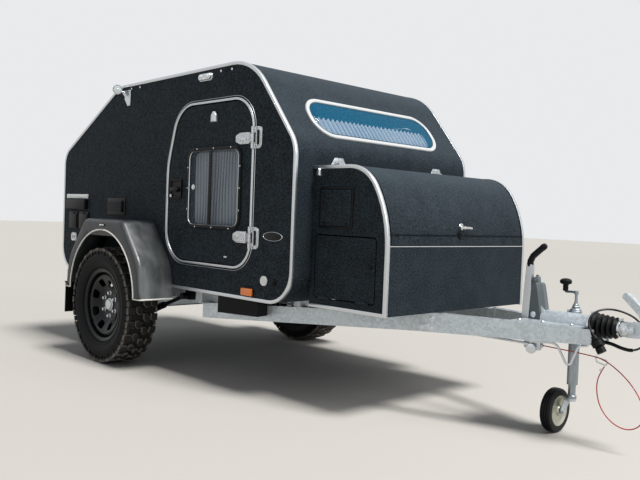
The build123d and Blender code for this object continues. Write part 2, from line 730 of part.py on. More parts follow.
def mudguard(side):
    """A boxed mudguard with a round wheel arch and a rubber flap behind the wheel."""
    c, top, foot = guard_centre_x, guard_top, guard_foot
    shape = outline(
        (c - guard_half_foot, foot, 0), (c - guard_half_foot + 28, foot + 190, 260),
        (c - guard_half_top, top, 60), (c + guard_half_top, top, 60),
        (c + guard_half_foot - 28, foot + 190, 260), (c + guard_half_foot, foot, 0),
    )
    inner = offset(shape, -guard_skin)
    below = Pos(c, foot - 100.0) * Rectangle(2 * guard_half_foot + 100.0, 200.0 + 2 * guard_skin)
    hollow = inner + (below & Pos(c, foot) * Rectangle(2 * guard_half_foot - 2 * guard_skin, 400.0))
    arch = Pos(c, arch_centre_height) * Circle(arch_radius)
    arch += Pos(c, arch_centre_height - 100.0) * Rectangle(2 * arch_radius, 200.0)
    inner_y, outer_y = side * cabin_half_width, side * guard_outer_y
    solid = across(shape, inner_y, outer_y)
    solid -= across(hollow, inner_y - side, outer_y - side * guard_skin)
    solid -= across(arch, inner_y - side, outer_y + side)
    trim_room = trim_thickness + fit_gap
    solid -= block(
        (c - guard_half_foot - 1, c + guard_half_foot + 1), (inner_y, inner_y + side * trim_room),
        (cabin_bottom - trim_room, cabin_bottom + trim_band + fit_gap),
    )
    rubber_x = c - guard_half_foot
    solid += block((rubber_x, rubber_x + 8.0), (inner_y + side * 20.0, outer_y), (flap_foot, foot + 30.0))
    return solid


# Chassis
def side_rails():
    """The two rails under the floor, folded C sections open to the inside."""
    pieces = []
    for name, side in SIDES:
        rail_sides = (side * rail_y, side * (rail_y + rail_width))
        rail = block((rail_rear_x, bolster_x[0]), rail_sides, (rail_low, cabin_bottom))
        rail -= block(
            (rail_rear_x - 1, bolster_x[0] + 1), (side * (rail_y - 1), side * (rail_y + rail_width - steel)),
            (rail_low + steel, cabin_bottom - steel),
        )
        pieces.append(rail)
    return Compound(children=pieces)


def vee_line(x):
    """Half the drawbar's outer width at a place along X."""
    (x0, y0), (x1, y1) = vee_rear, vee_front
    return y0 + (y1 - y0) * (x - x0) / (x1 - x0)


vee_angle = atan2(vee_rear[1] - vee_front[1], vee_front[0] - vee_rear[0])
vee_stretch = 1 / cos(vee_angle)
vee_rise = (vee_low_lap - vee_low_rear) / (vee_lap_x - vee_rear[0])
vee_bend_x = bolster_x[1] + vee_flange * sin(vee_angle) + 2.0


def vee_strip(side, points, outward_from, outward_to):
    """An upright plate that follows one arm of the V; points are (x, z), depths run outward."""
    x0, y0 = vee_rear
    along = (cos(vee_angle), -side * sin(vee_angle), 0)
    outward = (sin(vee_angle), side * cos(vee_angle), 0)
    plane = Plane(origin=(x0, side * y0, 0), x_dir=along, z_dir=outward)
    flip = 1 if plane.y_dir.Z > 0 else -1
    local = [((x - x0) * vee_stretch, flip * z) for x, z in points]
    face = make_face(Polyline(*local, close=True))
    return extrude(plane.offset(outward_from) * face, amount=outward_to - outward_from)


def rear_low(x):
    """Lower edge of the rear arm of the V."""
    return vee_low_rear + vee_rise * (x - vee_rear[0])


def rear_high(x):
    """Upper edge of the rear arm of the V, which climbs to the locker's floor."""
    share = (x - vee_bend_x) / (locker_front_x - vee_bend_x)
    return rail_low + (cabin_bottom - fit_gap - rail_low) * share


# Cross member over the V, seated on the rear arms' top flanges
member_x = (1250.0, 1300.0)
member_seat = rear_high(member_x[1] + vee_flange * sin(vee_angle)) + fit_gap


def drawbar_rails():
    """The V's rear arms: folded C sections from the bolster to the lap in front of the locker."""
    x0, x1 = vee_rear[0], rear_beam_end_x
    low0, low1 = rear_low(x0), rear_low(x1)
    pieces = []
    for name, side in SIDES:
        top = [(x0, rail_low), (vee_bend_x, rail_low), (x1, rear_high(x1))]
        web = [(x0, low0), *top, (x1, low1)]
        lower = [(x0, low0), (x0, low0 + steel), (x1, low1 + steel), (x1, low1)]
        upper = [*top, *[(x, z - steel) for x, z in reversed(top)]]
        arm = vee_strip(side, web, -steel, 0.0)
        for strip in (lower, upper):
            arm += vee_strip(side, strip, -vee_flange, 0.0)
        pieces.append(arm)
    return Compound(children=pieces)


def drawbar_beams():
    """The V's front arms: deep at the lap and slimmer at the coupling, outside the rear arms."""
    low0, top0, x1 = front_beam_start_low_x, front_beam_start_top_x, vee_front[0]
    flange_end = bellows_x[0] - 12.0
    floor0, floor1, top = vee_low_lap, front_beam_low_front, front_beam_top

    def floor_at(x):
        return floor0 + (floor1 - floor0) * (x - low0) / (x1 - low0)

    start = rear_beam_end_x + 20.0
    pieces = []
    for name, side in SIDES:
        web = [(low0, floor0), (top0, top), (x1, top), (x1, floor1)]
        low_end = floor_at(flange_end)
        lower = [
            (start, floor_at(start)), (start, floor_at(start) + steel), (flange_end, low_end + steel),
            (flange_end, low_end),
        ]
        upper = [(start, top - steel), (start, top), (flange_end, top), (flange_end, top - steel)]
        arm = vee_strip(side, web, 0.0, steel)
        for strip in (lower, upper):
            arm += vee_strip(side, strip, -vee_flange + steel, steel)
        arm -= Pos(jockey_x, jockey_y, coupling_height) * Cylinder(jockey_tube_radius + 5.0, 200.0)
        pieces.append(arm)
    return Compound(children=pieces)


def cross_members():
    """Box sections between the rails, the bolster over the V, and the rear lamp bar."""
    pieces = []
    inner = rail_y
    for x in cross_member_x:
        member = block((x, x + cross_member_width), (-inner, inner), (rail_low + 12.0, cabin_bottom))
        pieces.append(member)
    pieces.append(block(bolster_x, (-bolster_half, bolster_half), (rail_low, cabin_bottom)))
    x0, x1 = member_x
    half = vee_line(x0) - steel
    pieces.append(block((x0, x1), (-half, half), (member_seat, cabin_bottom)))
    return Compound(children=pieces)


# Coupling
def overrun_housing():
    """The pressed housing over the draw tube, on a base plate across the two beams."""
    x0, x1 = housing_x
    plate_x = x0 - 80.0
    plate = make_face(Polyline(
        (plate_x, -vee_line(plate_x)), (plate_x, vee_line(plate_x)), (x1, vee_line(x1)),
        (x1, -vee_line(x1)), close=True,
    ))
    base = extrude(Plane.XY.offset(front_beam_top) * plate, amount=base_plate)
    shell = Pos(x0, 0, coupling_height) * Rot(0, 90, 0) * Cylinder(
        housing_radius, x1 - x0, align=(Align.CENTER, Align.CENTER, Align.MIN)
    )
    skirt = block((x0, x1), (-housing_radius, housing_radius), (front_beam_low_front + 10.0, coupling_height))
    bore = Pos(x0 - 1, 0, coupling_height) * Rot(0, 90, 0) * Cylinder(
        draw_tube_radius + 0.3, x1 - x0 + 2, align=(Align.CENTER, Align.CENTER, Align.MIN)
    )
    tube_hole = Pos(jockey_x, jockey_y, coupling_height) * Cylinder(jockey_tube_radius + 0.3, 200.0)
    return shell + skirt + base - bore - tube_hole


def bellows():
    """The rubber bellows over the draw tube."""
    x0, x1 = bellows_x
    step = (x1 - x0) / (2 * bellows_folds)
    points = [(x0 + 0.3, draw_tube_radius + 0.3)]
    for number in range(2 * bellows_folds + 1):
        share = number / (2 * bellows_folds)
        crest = bellows_radius + (bellows_nose_radius - bellows_radius) * share
        radius = crest if number % 2 == 0 else crest - 11.0
        points.append((x0 + 0.3 + step * number, radius))
    points.append((x1 + 0.3, draw_tube_radius + 0.3))
    solid = revolve(make_face(Polyline(*points, close=True)), Axis.X)
    return Pos(0, 0, coupling_height) * solid


def coupling_head():
    """The draw tube with the pressed ball head and its socket."""
    tube = Pos(housing_x[0] + 10.0, 0, coupling_height) * Rot(0, 90, 0) * Cylinder(
        draw_tube_radius, draw_tube_end_x - housing_x[0] - 10.0, align=(Align.CENTER, Align.CENTER, Align.MIN)
    )
    neck = Pos(bellows_x[1] + 1.0, 0, coupling_height) * Rot(0, 90, 0) * Cylinder(
        32.0, 60.0, align=(Align.CENTER, Align.CENTER, Align.MIN)
    )
    spine = outline(
        (2840.0, coupling_height - 30.0, 0), (2840.0, coupling_height + 34.0, 12.0),
        (2930.0, coupling_height + 30.0, 30.0), (2990.0, coupling_height + 6.0, 16.0),
        (2990.0, ball_height + 8.0, 0), (2920.0, ball_height + 8.0, 10.0),
    )
    head = across(spine, -27.0, 27.0)
    cup = Pos(ball_x, 0, ball_height) * Cylinder(cup_radius, 44.0)
    nose_width = 30.0
    nose = block((ball_x, nose_x), (-nose_width / 2, nose_width / 2), (ball_height - 8.0, ball_height + 22.0))
    socket = Pos(ball_x, 0, ball_height - 30.0) * Cylinder(
        ball_radius, 30.0, align=(Align.CENTER, Align.CENTER, Align.MIN)
    )
    bolts = [
        across(Pos(x, coupling_height) * Circle(8.5), -38.0, 38.0) for x in (2828.0, 2858.0)
    ]
    handle = across(outline(
        (2962.0, coupling_height + 10.0, 0), (2918.0, coupling_height + 76.0, 40.0),
        (2822.0, coupling_height + 158.0, 10.0), (2806.0, coupling_height + 136.0, 8.0),
        (2880.0, coupling_height + 66.0, 30.0), (2906.0, coupling_height + 10.0, 0),
    ), -17.0, 17.0)
    ball = Pos(ball_x, 0, ball_height) * Sphere(ball_radius)
    return tube + neck + head + cup + nose + handle + bolts - socket - ball


def handbrake():
    """The handbrake: toothed sector plates, a folded lever blade with its grip, and the spring case."""
    seat = front_beam_top + base_plate
    blade = outline(
        (2382.0, seat, 6.0), (2366.0, seat + 200.0, 20.0), (2362.0, seat + 246.0, 4.0),
        (2392.0, seat + 246.0, 4.0), (2412.0, seat + 200.0, 20.0), (2440.0, seat, 6.0),
    )
    lever = across(blade, -34.0, -28.0) + across(blade, -12.0, -6.0)
    fold = outline(
        (2362.0, seat + 180.0, 0), (2362.0, seat + 246.0, 0), (2392.0, seat + 246.0, 0),
        (2398.0, seat + 180.0, 0),
    )
    lever += across(fold, -28.0, -12.0)
    grip = outline(
        (2358.0, seat + 240.0, 6.0), (2356.0, seat + 278.0, 40.0), (2420.0, seat + 356.0, 12.0),
        (2440.0, seat + 344.0, 12.0), (2392.0, seat + 270.0, 40.0), (2394.0, seat + 240.0, 6.0),
    )
    case = rod((2424.0, 12.0, seat + 12.0), (2404.0, 12.0, seat + 196.0), 16.0)
    foot = block((2396.0, 2446.0), (-6.0, 34.0), (seat, seat + 14.0))
    pin = across(Pos(2404.0, seat + 190.0) * Circle(8.0), -34.0, 30.0)
    return lever + across(grip, -37.0, -3.0) + case + foot + pin


# Jockey wheel
def jockey_tube():
    """The clamped outer tube with the crank on top and the plate that holds it between the beams."""
    x, y = jockey_x, jockey_y
    length = jockey_tube_high - jockey_tube_low
    tube = Pos(x, y, jockey_tube_low) * Cylinder(
        jockey_tube_radius, length, align=(Align.CENTER, Align.CENTER, Align.MIN)
    )
    bore = Pos(x, y, jockey_tube_low - 1) * Cylinder(
        jockey_bore, length - 12.0, align=(Align.CENTER, Align.CENTER, Align.MIN)
    )
    cap = Pos(x, y, jockey_tube_high) * Cone(
        jockey_tube_radius, 9.0, 46.0, align=(Align.CENTER, Align.CENTER, Align.MIN)
    )
    spindle = rod((x, y, jockey_tube_high + 40.0), (x, y, jockey_tube_high + 80.0), 6.0)
    crank_z = jockey_tube_high + 76.0
    knob_x, knob_y = x - 66.0, y + 24.0
    crank = rod((x, y, crank_z), (knob_x, knob_y, crank_z - 2.0), 5.5)
    stem = rod((knob_x, knob_y, crank_z - 8.0), (knob_x, knob_y, crank_z + 26.0), 9.0)
    knob = Pos(knob_x, knob_y, crank_z + 22.0) * Cylinder(
        20.0, 24.0, align=(Align.CENTER, Align.CENTER, Align.MIN)
    )
    low_x, high_x = x - 26.0, x + 26.0
    inner = housing_radius + fit_gap
    plate = make_face(Polyline(
        (low_x, inner), (low_x, vee_line(low_x) - fit_gap), (high_x, vee_line(high_x) - fit_gap),
        (high_x, inner), close=True,
    ))
    clamp = extrude(Plane.XY.offset(450.0) * plate, amount=36.0)
    return tube + clamp + cap + spindle + crank + stem + knob - bore


def jockey_leg():
    """The inner leg, a plain round bar."""
    x, y = jockey_x, jockey_y
    leg = Pos(x, y, jockey_head) * Cylinder(
        jockey_leg_radius, jockey_leg_top - jockey_head, align=(Align.CENTER, Align.CENTER, Align.MIN)
    )
    return leg


def jockey_fork():
    """The swivel cap with its one-sided arm and the wheel pin."""
    x, y = jockey_x, jockey_y
    cap = Pos(x, y, jockey_head - 12.5) * Cylinder(
        jockey_leg_radius, 12.0, align=(Align.CENTER, Align.CENTER, Align.MIN)
    )
    hub = jockey_wheel_radius
    wheel_y = y - jockey_trail
    arm_x = x - jockey_side + jockey_wheel_width / 2 + 9.0
    arm_plane = Plane(origin=(arm_x, 0, 0), x_dir=(0, 1, 0), z_dir=(1, 0, 0))
    arm_shape = outline(
        (y + 18.0, jockey_head - 0.5, 0), (y - 18.0, jockey_head - 0.5, 0), (wheel_y - 20.0, hub + 4.0, 16.0),
        (wheel_y + 2.0, hub - 24.0, 16.0), (y + 18.0, jockey_head - 30.0, 10.0),
    )
    arm = extrude(arm_plane * arm_shape, amount=6.0)
    shelf = block((arm_x, x), (y - 18.0, y + 18.0), (jockey_head - 12.5, jockey_head - 6.5))
    pin = rod((x - jockey_side - 34.0, wheel_y, hub), (arm_x + 14.0, wheel_y, hub), jockey_pin_radius)
    return cap + shelf + arm + pin


def jockey_wheel():
    """The jockey wheel: solid rubber tyre on a pressed steel rim."""
    half = jockey_wheel_width / 2
    section = [
        (jockey_pin_radius + 0.06, -half - 4), (22.0, -half - 4), (22.0, -half + 6), (60.0, -half + 8),
        (66.0, -half + 2), (92.0, -half + 2), (jockey_wheel_radius, -half + 12),
        (jockey_wheel_radius, half - 12), (92.0, half - 2), (66.0, half - 2), (60.0, half - 8),
        (22.0, half - 6), (22.0, half + 4), (jockey_pin_radius + 0.06, half + 4),
    ]
    solid = revolve(make_face(Polyline(*section, close=True)), Axis.Y)
    wheel = Rot(0, 0, -90) * solid
    return Pos(jockey_x - jockey_side, jockey_y - jockey_trail, jockey_wheel_radius) * wheel


# Front window and its curtain
def front_window_frame():
    """The moulded frame round the front window, with its lip through the wall."""
    flange = extrude(slope_plane * window_outline(), amount=window_frame_proud)
    lip = extrude(slope_plane.offset(-wall) * window_outline(-window_frame_width + window_lip), amount=wall)
    clear = extrude(
        slope_plane * window_outline(-window_frame_width), amount=window_frame_proud + wall, both=True
    )
    return flange + lip - clear


def front_window_pane():
    """The front pane, pressed outward into a shallow crown."""
    glass = window_outline(-window_frame_width)
    plate = extrude(slope_plane.offset(2.0) * glass, amount=pane_thickness)
    crown = extrude(
        slope_plane.offset(2.0 + pane_thickness) * window_outline(-window_frame_width - 4.0),
        amount=pane_crown - pane_thickness, taper=45,
    )
    return plate + crown


def front_curtain():
    """The folded curtain inside the front window."""
    cloth = slope_plane.offset(-wall - curtain_depth) * window_outline(-window_frame_width + 2 * window_lip)
    return extrude(cloth, amount=curtain_depth - fit_gap)


# Lamps and vents on the body: x and z of the middle, width, height, corner radius, thickness
awning_lamp_x = (684.0, 805.0)
awning_lamp_z = (roof_front_height - 74.0, roof_front_height - 40.0)
side_lamp_table = ((1169.0, 536.0, 92.0, 46.0, 8.0, 18.0),)
side_vent_table = (
    (-728.0, 1008.0, 300.0, 34.0, 6.0, 10.0),
    (-728.0, 958.0, 300.0, 58.0, 6.0, 22.0),
    (-774.0, 850.0, 136.0, 112.0, 8.0, 12.0),
    (-620.0, 850.0, 152.0, 112.0, 8.0, 12.0),
    (-718.0, 730.0, 78.0, 50.0, 20.0, 12.0),
    (-180.0, 951.0, 203.0, 106.0, 10.0, 9.0),
)


def side_plates(table, sides):
    """Rounded plates on the cabin's sides, one solid for each row and side."""
    solids = []
    for x, z, width, height, radius, thickness in table:
        shape = rounded_box((x - width / 2, x + width / 2), (z - height / 2, z + height / 2), radius)
        for side in sides:
            face = side * cabin_half_width
            solids.append(across(shape, face, face + side * thickness))
    return solids


def roof_lamps():
    """Awning lamps under the roof edge and the marker lamps at the rear shoulder."""
    solids = []
    for side in (RIGHT, LEFT):
        face = side * cabin_half_width
        bar = rounded_box(awning_lamp_x, awning_lamp_z, 16.0)
        solids.append(across(bar, face, face + side * 24.0))
        x, z = roof_rear_x, roof_rear_height
        arm = outline(
            (x, z - 130.0, 4.0), (x + 12.0, z - 60.0, 20.0), (x + 117.0, z - 34.0, 4.0),
            (x + 102.0, z - 70.0, 30.0),
        )
        solids.append(across(arm, face, face + side * 14.0))
    return solids


def window_hatch():
    """The framed service hatch on the locker's cheek."""
    face = -locker_half_width
    frame = across(rounded_box(hatch_frame_x, hatch_frame_z, 14.0), face, face - 5.0)
    (x0, x1), (z0, z1) = hatch_frame_x, hatch_frame_z
    panel = across(rounded_box((x0 + 12, x1 - 20), (z0 + 12, z1 - 16), 10.0), face, face - 9.0)
    return frame + panel


# Rear
def rear_bar():
    """The folded panel across the rails' ends that carries the rear lamps."""
    depth = rear_bar_x[1] - rear_bar_x[0]
    panel = block(rear_bar_x, (-rear_bar_half, rear_bar_half), rear_bar_z)
    low, high = rear_bar_z
    hollow = block(
        (rear_bar_x[0] + steel, rear_bar_x[1] + depth), (-rear_bar_half + steel, rear_bar_half - steel),
        (low + steel, high - steel),
    )
    arm_x = (rear_bar_x[0] + steel, rail_rear_x)
    arms = [
        block(arm_x, (side * rail_y, side * (rail_y + rail_width)), (low + 30.0, high))
        for side in (RIGHT, LEFT)
    ]
    return panel - hollow + arms


def tail_lamps():
    """Two round lamps at each side of the rear bar."""
    solids = []
    middle = (rear_bar_z[0] + rear_bar_z[1]) / 2
    for side in (RIGHT, LEFT):
        for y in (575.0, 475.0):
            lamp = Pos(rear_bar_x[0], side * y, middle) * Rot(0, -90, 0) * Cylinder(
                42.0, rear_bar_x[0] - rear_end_x, align=(Align.CENTER, Align.CENTER, Align.MIN)
            )
            solids.append(fillet(lamp.edges().sort_by(Axis.X)[0], 8.0))
    return solids


def tailgate_fittings():
    """The tailgate's strap hinges and its grab handle."""
    x = rear_face_x
    low, high = hatch_bottom + 88.0, hatch_bottom + 108.0
    bar = block((x - 30.0, x - 16.0), (-70.0, 70.0), (low, high))
    posts = [block((x - 20.0, x), (y - 10.0, y + 10.0), (low + 2.0, high - 2.0)) for y in (-56.0, 56.0)]
    pieces = [bar + posts]
    for y in hatch_hinge_y:
        skin = across(cabin_outline(6.0) - cabin_outline(fit_gap), y - 14.5, y + 14.5)
        strap_x = (hatch_hinge_x - 86.0, hatch_hinge_x - moving_gap)
        strap = skin & block(strap_x, (-far, far), (rear_slope_foot, far))
        strap += across(Pos(hatch_hinge_x, hatch_hinge_height) * Circle(8.0), y - 14.5, y + 14.5)
        strap += block(
            (hatch_hinge_x - 14.0, hatch_hinge_x), (y - 14.5, y + 14.5),
            (roof_rear_height + 3.0, hatch_hinge_height),
        )
        bore = Pos(hatch_hinge_x, hatch_hinge_height) * Circle(hinge_bore_radius)
        strap -= across(bore, y - 15.0, y + 15.0)
        pieces.append(strap)
    return Compound(children=pieces)


def rail_box():
    """The closed battery box hung outside the right drawbar arm."""
    x0, x1 = rail_box_x
    low, high = rail_box_low, cabin_bottom - fit_gap
    return vee_strip(RIGHT, [(x0, low), (x0, high), (x1, high), (x1, low)], fit_gap, 90.0)


def brake_rod():
    """The brake rod along the middle from the axle to the spring cylinder under the lever."""
    z = brake_rod_z
    bar = rod((axle_tube_x + axle_tube_size / 2 + 0.3, 0, z), (2364.0, 0, z), 6.0)
    cylinder = rod((2362.0, 0, z), (2438.0, 0, z), 21.0)
    neck = rod((2438.0, 0, z), (2450.0, 0, z), 9.0)
    hanger = block((1268.0, 1280.0), (-12.0, 12.0), (z - 10.0, member_seat))
    tongue = block((2392.0, 2408.0), (-8.0, 8.0), (z, front_beam_top))
    return bar + cylinder + neck + hanger + tongue


# Front of the drawbar
def plug_holder():
    """The plate on the right beam's web, with the ring that parks the plug ahead of it."""
    plate = vee_strip(
        RIGHT, [(2676.0, 444.0), (2676.0, 490.0), (2724.0, 490.0), (2768.0, 462.0), (2768.0, 440.0)],
        steel, 2 * steel,
    )
    ring_base = plug_frame.offset(30.0)
    ring = extrude(ring_base * (Circle(29.0) - Circle(20.0 + fit_gap)), amount=24.0)
    return plate + ring


def end_plate():
    """The low plate between the beams' ends, with the grommet of the light cable."""
    x = vee_front[0] - 6.0
    half = vee_line(x) - 1.0
    plate = block((x - 5.0, x), (-half, half), (front_beam_low_front + 0.5, front_beam_low_front + 20.0))
    cable_z = front_beam_low_front + 10.0
    grommet = rod((x, 0, cable_z), (x + 8.0, 0, cable_z), 7.5)
    return plate + grommet


def electric_plug():
    """The plug of the light cable, parked nose down in its ring."""
    body = extrude(plug_frame * Circle(20.0), amount=62.0)
    shoulder = extrude(plug_frame.offset(62.0) * Circle(14.0), amount=14.0)
    boot = extrude(plug_frame.offset(76.0) * Circle(8.0), amount=16.0)
    return body + shoulder + boot


def cable_bracket():
    """The bent wire under the right beam that keeps the cables off the road."""
    # x and how far the wire hangs below the beam
    points = (
        (2500.0, 4.0), (2546.0, 4.0), (2566.0, 14.0), (2606.0, 92.0), (2622.0, 92.0), (2652.0, 10.0),
        (2690.0, 4.0),
    )

    def place(x, drop):
        share = (x - front_beam_start_low_x) / (vee_front[0] - front_beam_start_low_x)
        floor = vee_low_lap + (front_beam_low_front - vee_low_lap) * share
        return (x, -vee_line(x) + 22.0, floor - drop - fit_gap)

    path = FilletPolyline(*(place(x, drop) for x, drop in points), radius=[8, 12, 12, 12, 8])
    return sweep(Plane(origin=path @ 0, z_dir=path % 0) * Circle(4.0), path=path)


# Free cords: the points of each route, chosen by hand, and the tube along them
def cord_radii(points):
    """The largest arc radius at each inner point that its two runs allow."""
    vectors = [Vector(*b) - Vector(*a) for a, b in zip(points, points[1:])]
    radii = []
    for before, after in zip(vectors, vectors[1:]):
        half_turn = radians(before.get_angle(after)) / 2
        radii.append(0.45 * min(before.length, after.length) / tan(half_turn))
    return radii


def cord_tube(name, points, diameter):
    """A plain round tube along a cord's route."""
    radii = cord_radii(points)
    print(name, "radii", [round(radius) for radius in radii])
    path = FilletPolyline(*points, radius=radii)
    tube = sweep(Plane(origin=path @ 0, z_dir=path % 0) * Circle(diameter / 2), path=path)
    plain_volume = path.length * pi * diameter**2 / 4
    print(name, "length", round(path.length), "volume ratio", round(tube.volume / plain_volume, 4))
    return tube


def breakaway_hook():
    """The snap hook at the end of the breakaway cable."""
    x, y, z = hook_place
    path = FilletPolyline(
        (x, y, z), (x + 14.0, y, z - 5.0), (x + 58.0, y, z - 12.0), (x + 52.0, y, z - 34.0),
        (x + 10.0, y, z - 24.0), (x + 2.0, y, z - 6.4), radius=[4.0, 9.0, 9.0, 8.0],
    )
    return sweep(Plane(origin=path @ 0, z_dir=path % 0) * Circle(3.0), path=path)


def gather(*solids):
    """One node of pieces that don't touch each other."""
    return Compound(children=list(solids))


behind_locker = block((0, front_face_x + fit_gap), (-far, far), (0, far))

nodes = {
    "floor_panel": floor_panel,
    "front_wall": front_wall,
    "roof_panel": roof_panel,
    "tailgate": tailgate,
    "galley": galley(),
    "locker_shell": locker_shell(),
    "locker_lid": locker_lid(),
    "lid_fittings": lid_fittings(),
    "locker_flap": locker_flap(),
    "axle": axle(),
    "shock_absorbers": shock_absorbers(),
    "side_rails": side_rails(),
    "drawbar_rails": drawbar_rails(),
    "drawbar_beams": drawbar_beams(),
    "cross_members": cross_members(),
    "hinge_brackets": hinge_brackets(),
    "overrun_housing": overrun_housing(),
    "bellows": bellows(),
    "coupling_head": coupling_head(),
    "handbrake": handbrake(),
    "jockey_tube": jockey_tube(),
    "jockey_leg": jockey_leg(),
    "jockey_fork": jockey_fork(),
    "jockey_wheel": jockey_wheel(),
    "front_window_frame": front_window_frame(),
    "front_window_pane": front_window_pane(),
    "front_curtain": front_curtain(),
    "amber_lamps": gather(*side_plates(side_lamp_table, (RIGHT, LEFT))),
    "side_vents": gather(*side_plates(side_vent_table, (RIGHT,)), window_hatch()),
    "roof_lamps": gather(*roof_lamps()),
    "rear_bar": rear_bar(),
    "tail_lamps": gather(*tail_lamps()),
    "tailgate_fittings": tailgate_fittings(),
    "rail_box": rail_box(),
    "brake_rod": brake_rod(),
    "cable_holders": gather(plug_holder(), end_plate(), cable_bracket()),
    "electric_plug": electric_plug(),
    "electric_cable": cord_tube("electric_cable", electric_route, electric_diameter),
    "breakaway_hook": breakaway_hook(),
    "breakaway_cable": cord_tube("breakaway_cable", breakaway_route, breakaway_diameter),
    "door_seals": gather(door_seal(RIGHT), door_seal(LEFT)),
    "edge_trims": gather(
        *(edge_trim(cabin_outline, cabin_half_width, side) for name, side in SIDES),
        *(edge_trim(locker_outline, locker_half_width, side) - behind_locker for name, side in SIDES),
    ),
}
for name, side in SIDES:
    nodes[f"side_wall_{name}"] = side_wall(side)
    nodes[f"door_leaf_{name}"] = door_leaf(side)
    nodes[f"door_window_{name}"] = door_window(side)
    nodes[f"door_pane_{name}"] = door_pane(side)
    nodes[f"door_curtain_{name}"] = door_curtain(side)
    nodes[f"door_hardware_{name}"] = door_hardware(side)
    nodes[f"tyre_{name}"] = tyre(side)
    nodes[f"rim_{name}"] = rim(side)
    nodes[f"mudguard_{name}"] = mudguard(side)

os.makedirs("parts", exist_ok=True)
for name, shape in nodes.items():
    export_step(Pos(-origin_x, 0, 0) * shape, f"parts/{name}.step")
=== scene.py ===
from math import atan2, ceil, cos, pi, radians, sin

import bmesh
import bpy
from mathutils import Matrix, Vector


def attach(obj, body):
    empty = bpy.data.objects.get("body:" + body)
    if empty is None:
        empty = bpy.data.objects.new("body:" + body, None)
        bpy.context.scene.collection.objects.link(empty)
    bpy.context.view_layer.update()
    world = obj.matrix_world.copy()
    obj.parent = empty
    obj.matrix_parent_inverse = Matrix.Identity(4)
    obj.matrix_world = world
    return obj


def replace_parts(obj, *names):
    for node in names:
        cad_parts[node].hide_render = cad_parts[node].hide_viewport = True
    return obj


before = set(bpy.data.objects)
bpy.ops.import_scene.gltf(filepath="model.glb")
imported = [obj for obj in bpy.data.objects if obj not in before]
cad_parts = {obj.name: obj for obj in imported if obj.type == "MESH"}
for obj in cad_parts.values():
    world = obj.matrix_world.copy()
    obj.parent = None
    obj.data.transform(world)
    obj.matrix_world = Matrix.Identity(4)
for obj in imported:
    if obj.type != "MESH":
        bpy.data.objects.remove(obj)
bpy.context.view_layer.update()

scene = bpy.context.scene
RIGHT, LEFT = -1, 1
SIDES = (("right", RIGHT), ("left", LEFT))

# Camera
# The photograph was taken at waist height, ahead of the right-hand corner of the locker.
# Its place and turn were solved from the trailer's own lines, and the lens from their vanishing points.
camera_place = Vector((3.162, -3.106, 0.9385))
yaw, pitch, roll = 0.8001, -0.0322, 0.0375
forward = Vector((-sin(yaw) * cos(pitch), cos(yaw) * cos(pitch), sin(pitch)))
level_right = Vector((cos(yaw), sin(yaw), 0.0))
level_up = level_right.cross(forward)
right = cos(roll) * level_right + sin(roll) * level_up
up = cos(roll) * level_up - sin(roll) * level_right
lens = bpy.data.cameras.new("photo camera")
lens.sensor_width = 36.0
lens.lens = 42.35
camera = bpy.data.objects.new("photo camera", lens)
scene.collection.objects.link(camera)
for row in range(3):
    for column, axis in enumerate((right, up, -forward, camera_place)):
        camera.matrix_world[row][column] = axis[row]
scene.camera = camera
scene.view_settings.view_transform = "Standard"


# Studio floor and lights
# A pale matt floor that runs out of view, a pale room, a broad soft key light from high ahead, as
# the sun stands in the photograph, and two soft lamps for the reflections.
def colour(code):
    """A linear colour with alpha from an sRGB hex code."""
    parts = [int(code[i:i + 2], 16) / 255 for i in (1, 3, 5)]
    return (*(p / 12.92 if p <= 0.04045 else ((p + 0.055) / 1.055) ** 2.4 for p in parts), 1.0)


def add_node(tree, kind, inputs=None, **settings):
    """Adds a node; each input takes a value or a link from another node's socket."""
    node = tree.nodes.new(kind)
    for name, value in settings.items():
        setattr(node, name, value)
    for name, value in (inputs or {}).items():
        if isinstance(value, bpy.types.NodeSocket):
            tree.links.new(value, node.inputs[name])
        else:
            node.inputs[name].default_value = value
    return node


def new_finish(name, code, roughness, metallic=0.0, more=None):
    """A material and its shader, with more of the shader's inputs set by name if asked."""
    finish = bpy.data.materials.new(name)
    finish.use_nodes = True
    shader = finish.node_tree.nodes["Principled BSDF"]
    inputs = {"Base Color": colour(code), "Roughness": roughness, "Metallic": metallic, **(more or {})}
    for label, value in inputs.items():
        shader.inputs[label].default_value = value
    return finish, shader


def noise(shader, scale, detail, vector=None, roughness=0.5):
    """The value of a noise texture beside a shader."""
    inputs = {"Scale": scale, "Detail": detail, "Roughness": roughness}
    if vector is not None:
        inputs["Vector"] = vector
    return add_node(shader.id_data, "ShaderNodeTexNoise", inputs).outputs["Fac"]


def blend(shader, factor, first, second, into=None):
    """A mix of two colours, each a hex code or a socket. It feeds the shader's input that is named."""
    first, second = (colour(end) if isinstance(end, str) else end for end in (first, second))
    tree = shader.id_data
    mix = add_node(tree, "ShaderNodeMix", {"Factor": factor, "A": first, "B": second}, data_type="RGBA")
    if into:
        tree.links.new(mix.outputs["Result"], shader.inputs[into])
    return mix.outputs["Result"]


# Smooth cast screed, sealed matt: an even pale surface without gloss
floor_finish, shader = new_finish("pale sealed screed", "#bab7b2", 0.85)
blend(shader, noise(shader, 2.5, 4.0), "#b5b2ad", "#bfbcb7", "Base Color")
floor_mesh = bpy.data.meshes.new("floor")
floor_mesh.from_pydata([(-40, -40, 0), (40, -40, 0), (40, 40, 0), (-40, 40, 0)], [], [(0, 1, 2, 3)])
floor_mesh.materials.append(floor_finish)
floor = bpy.data.objects.new("floor", floor_mesh)
scene.collection.objects.link(floor)

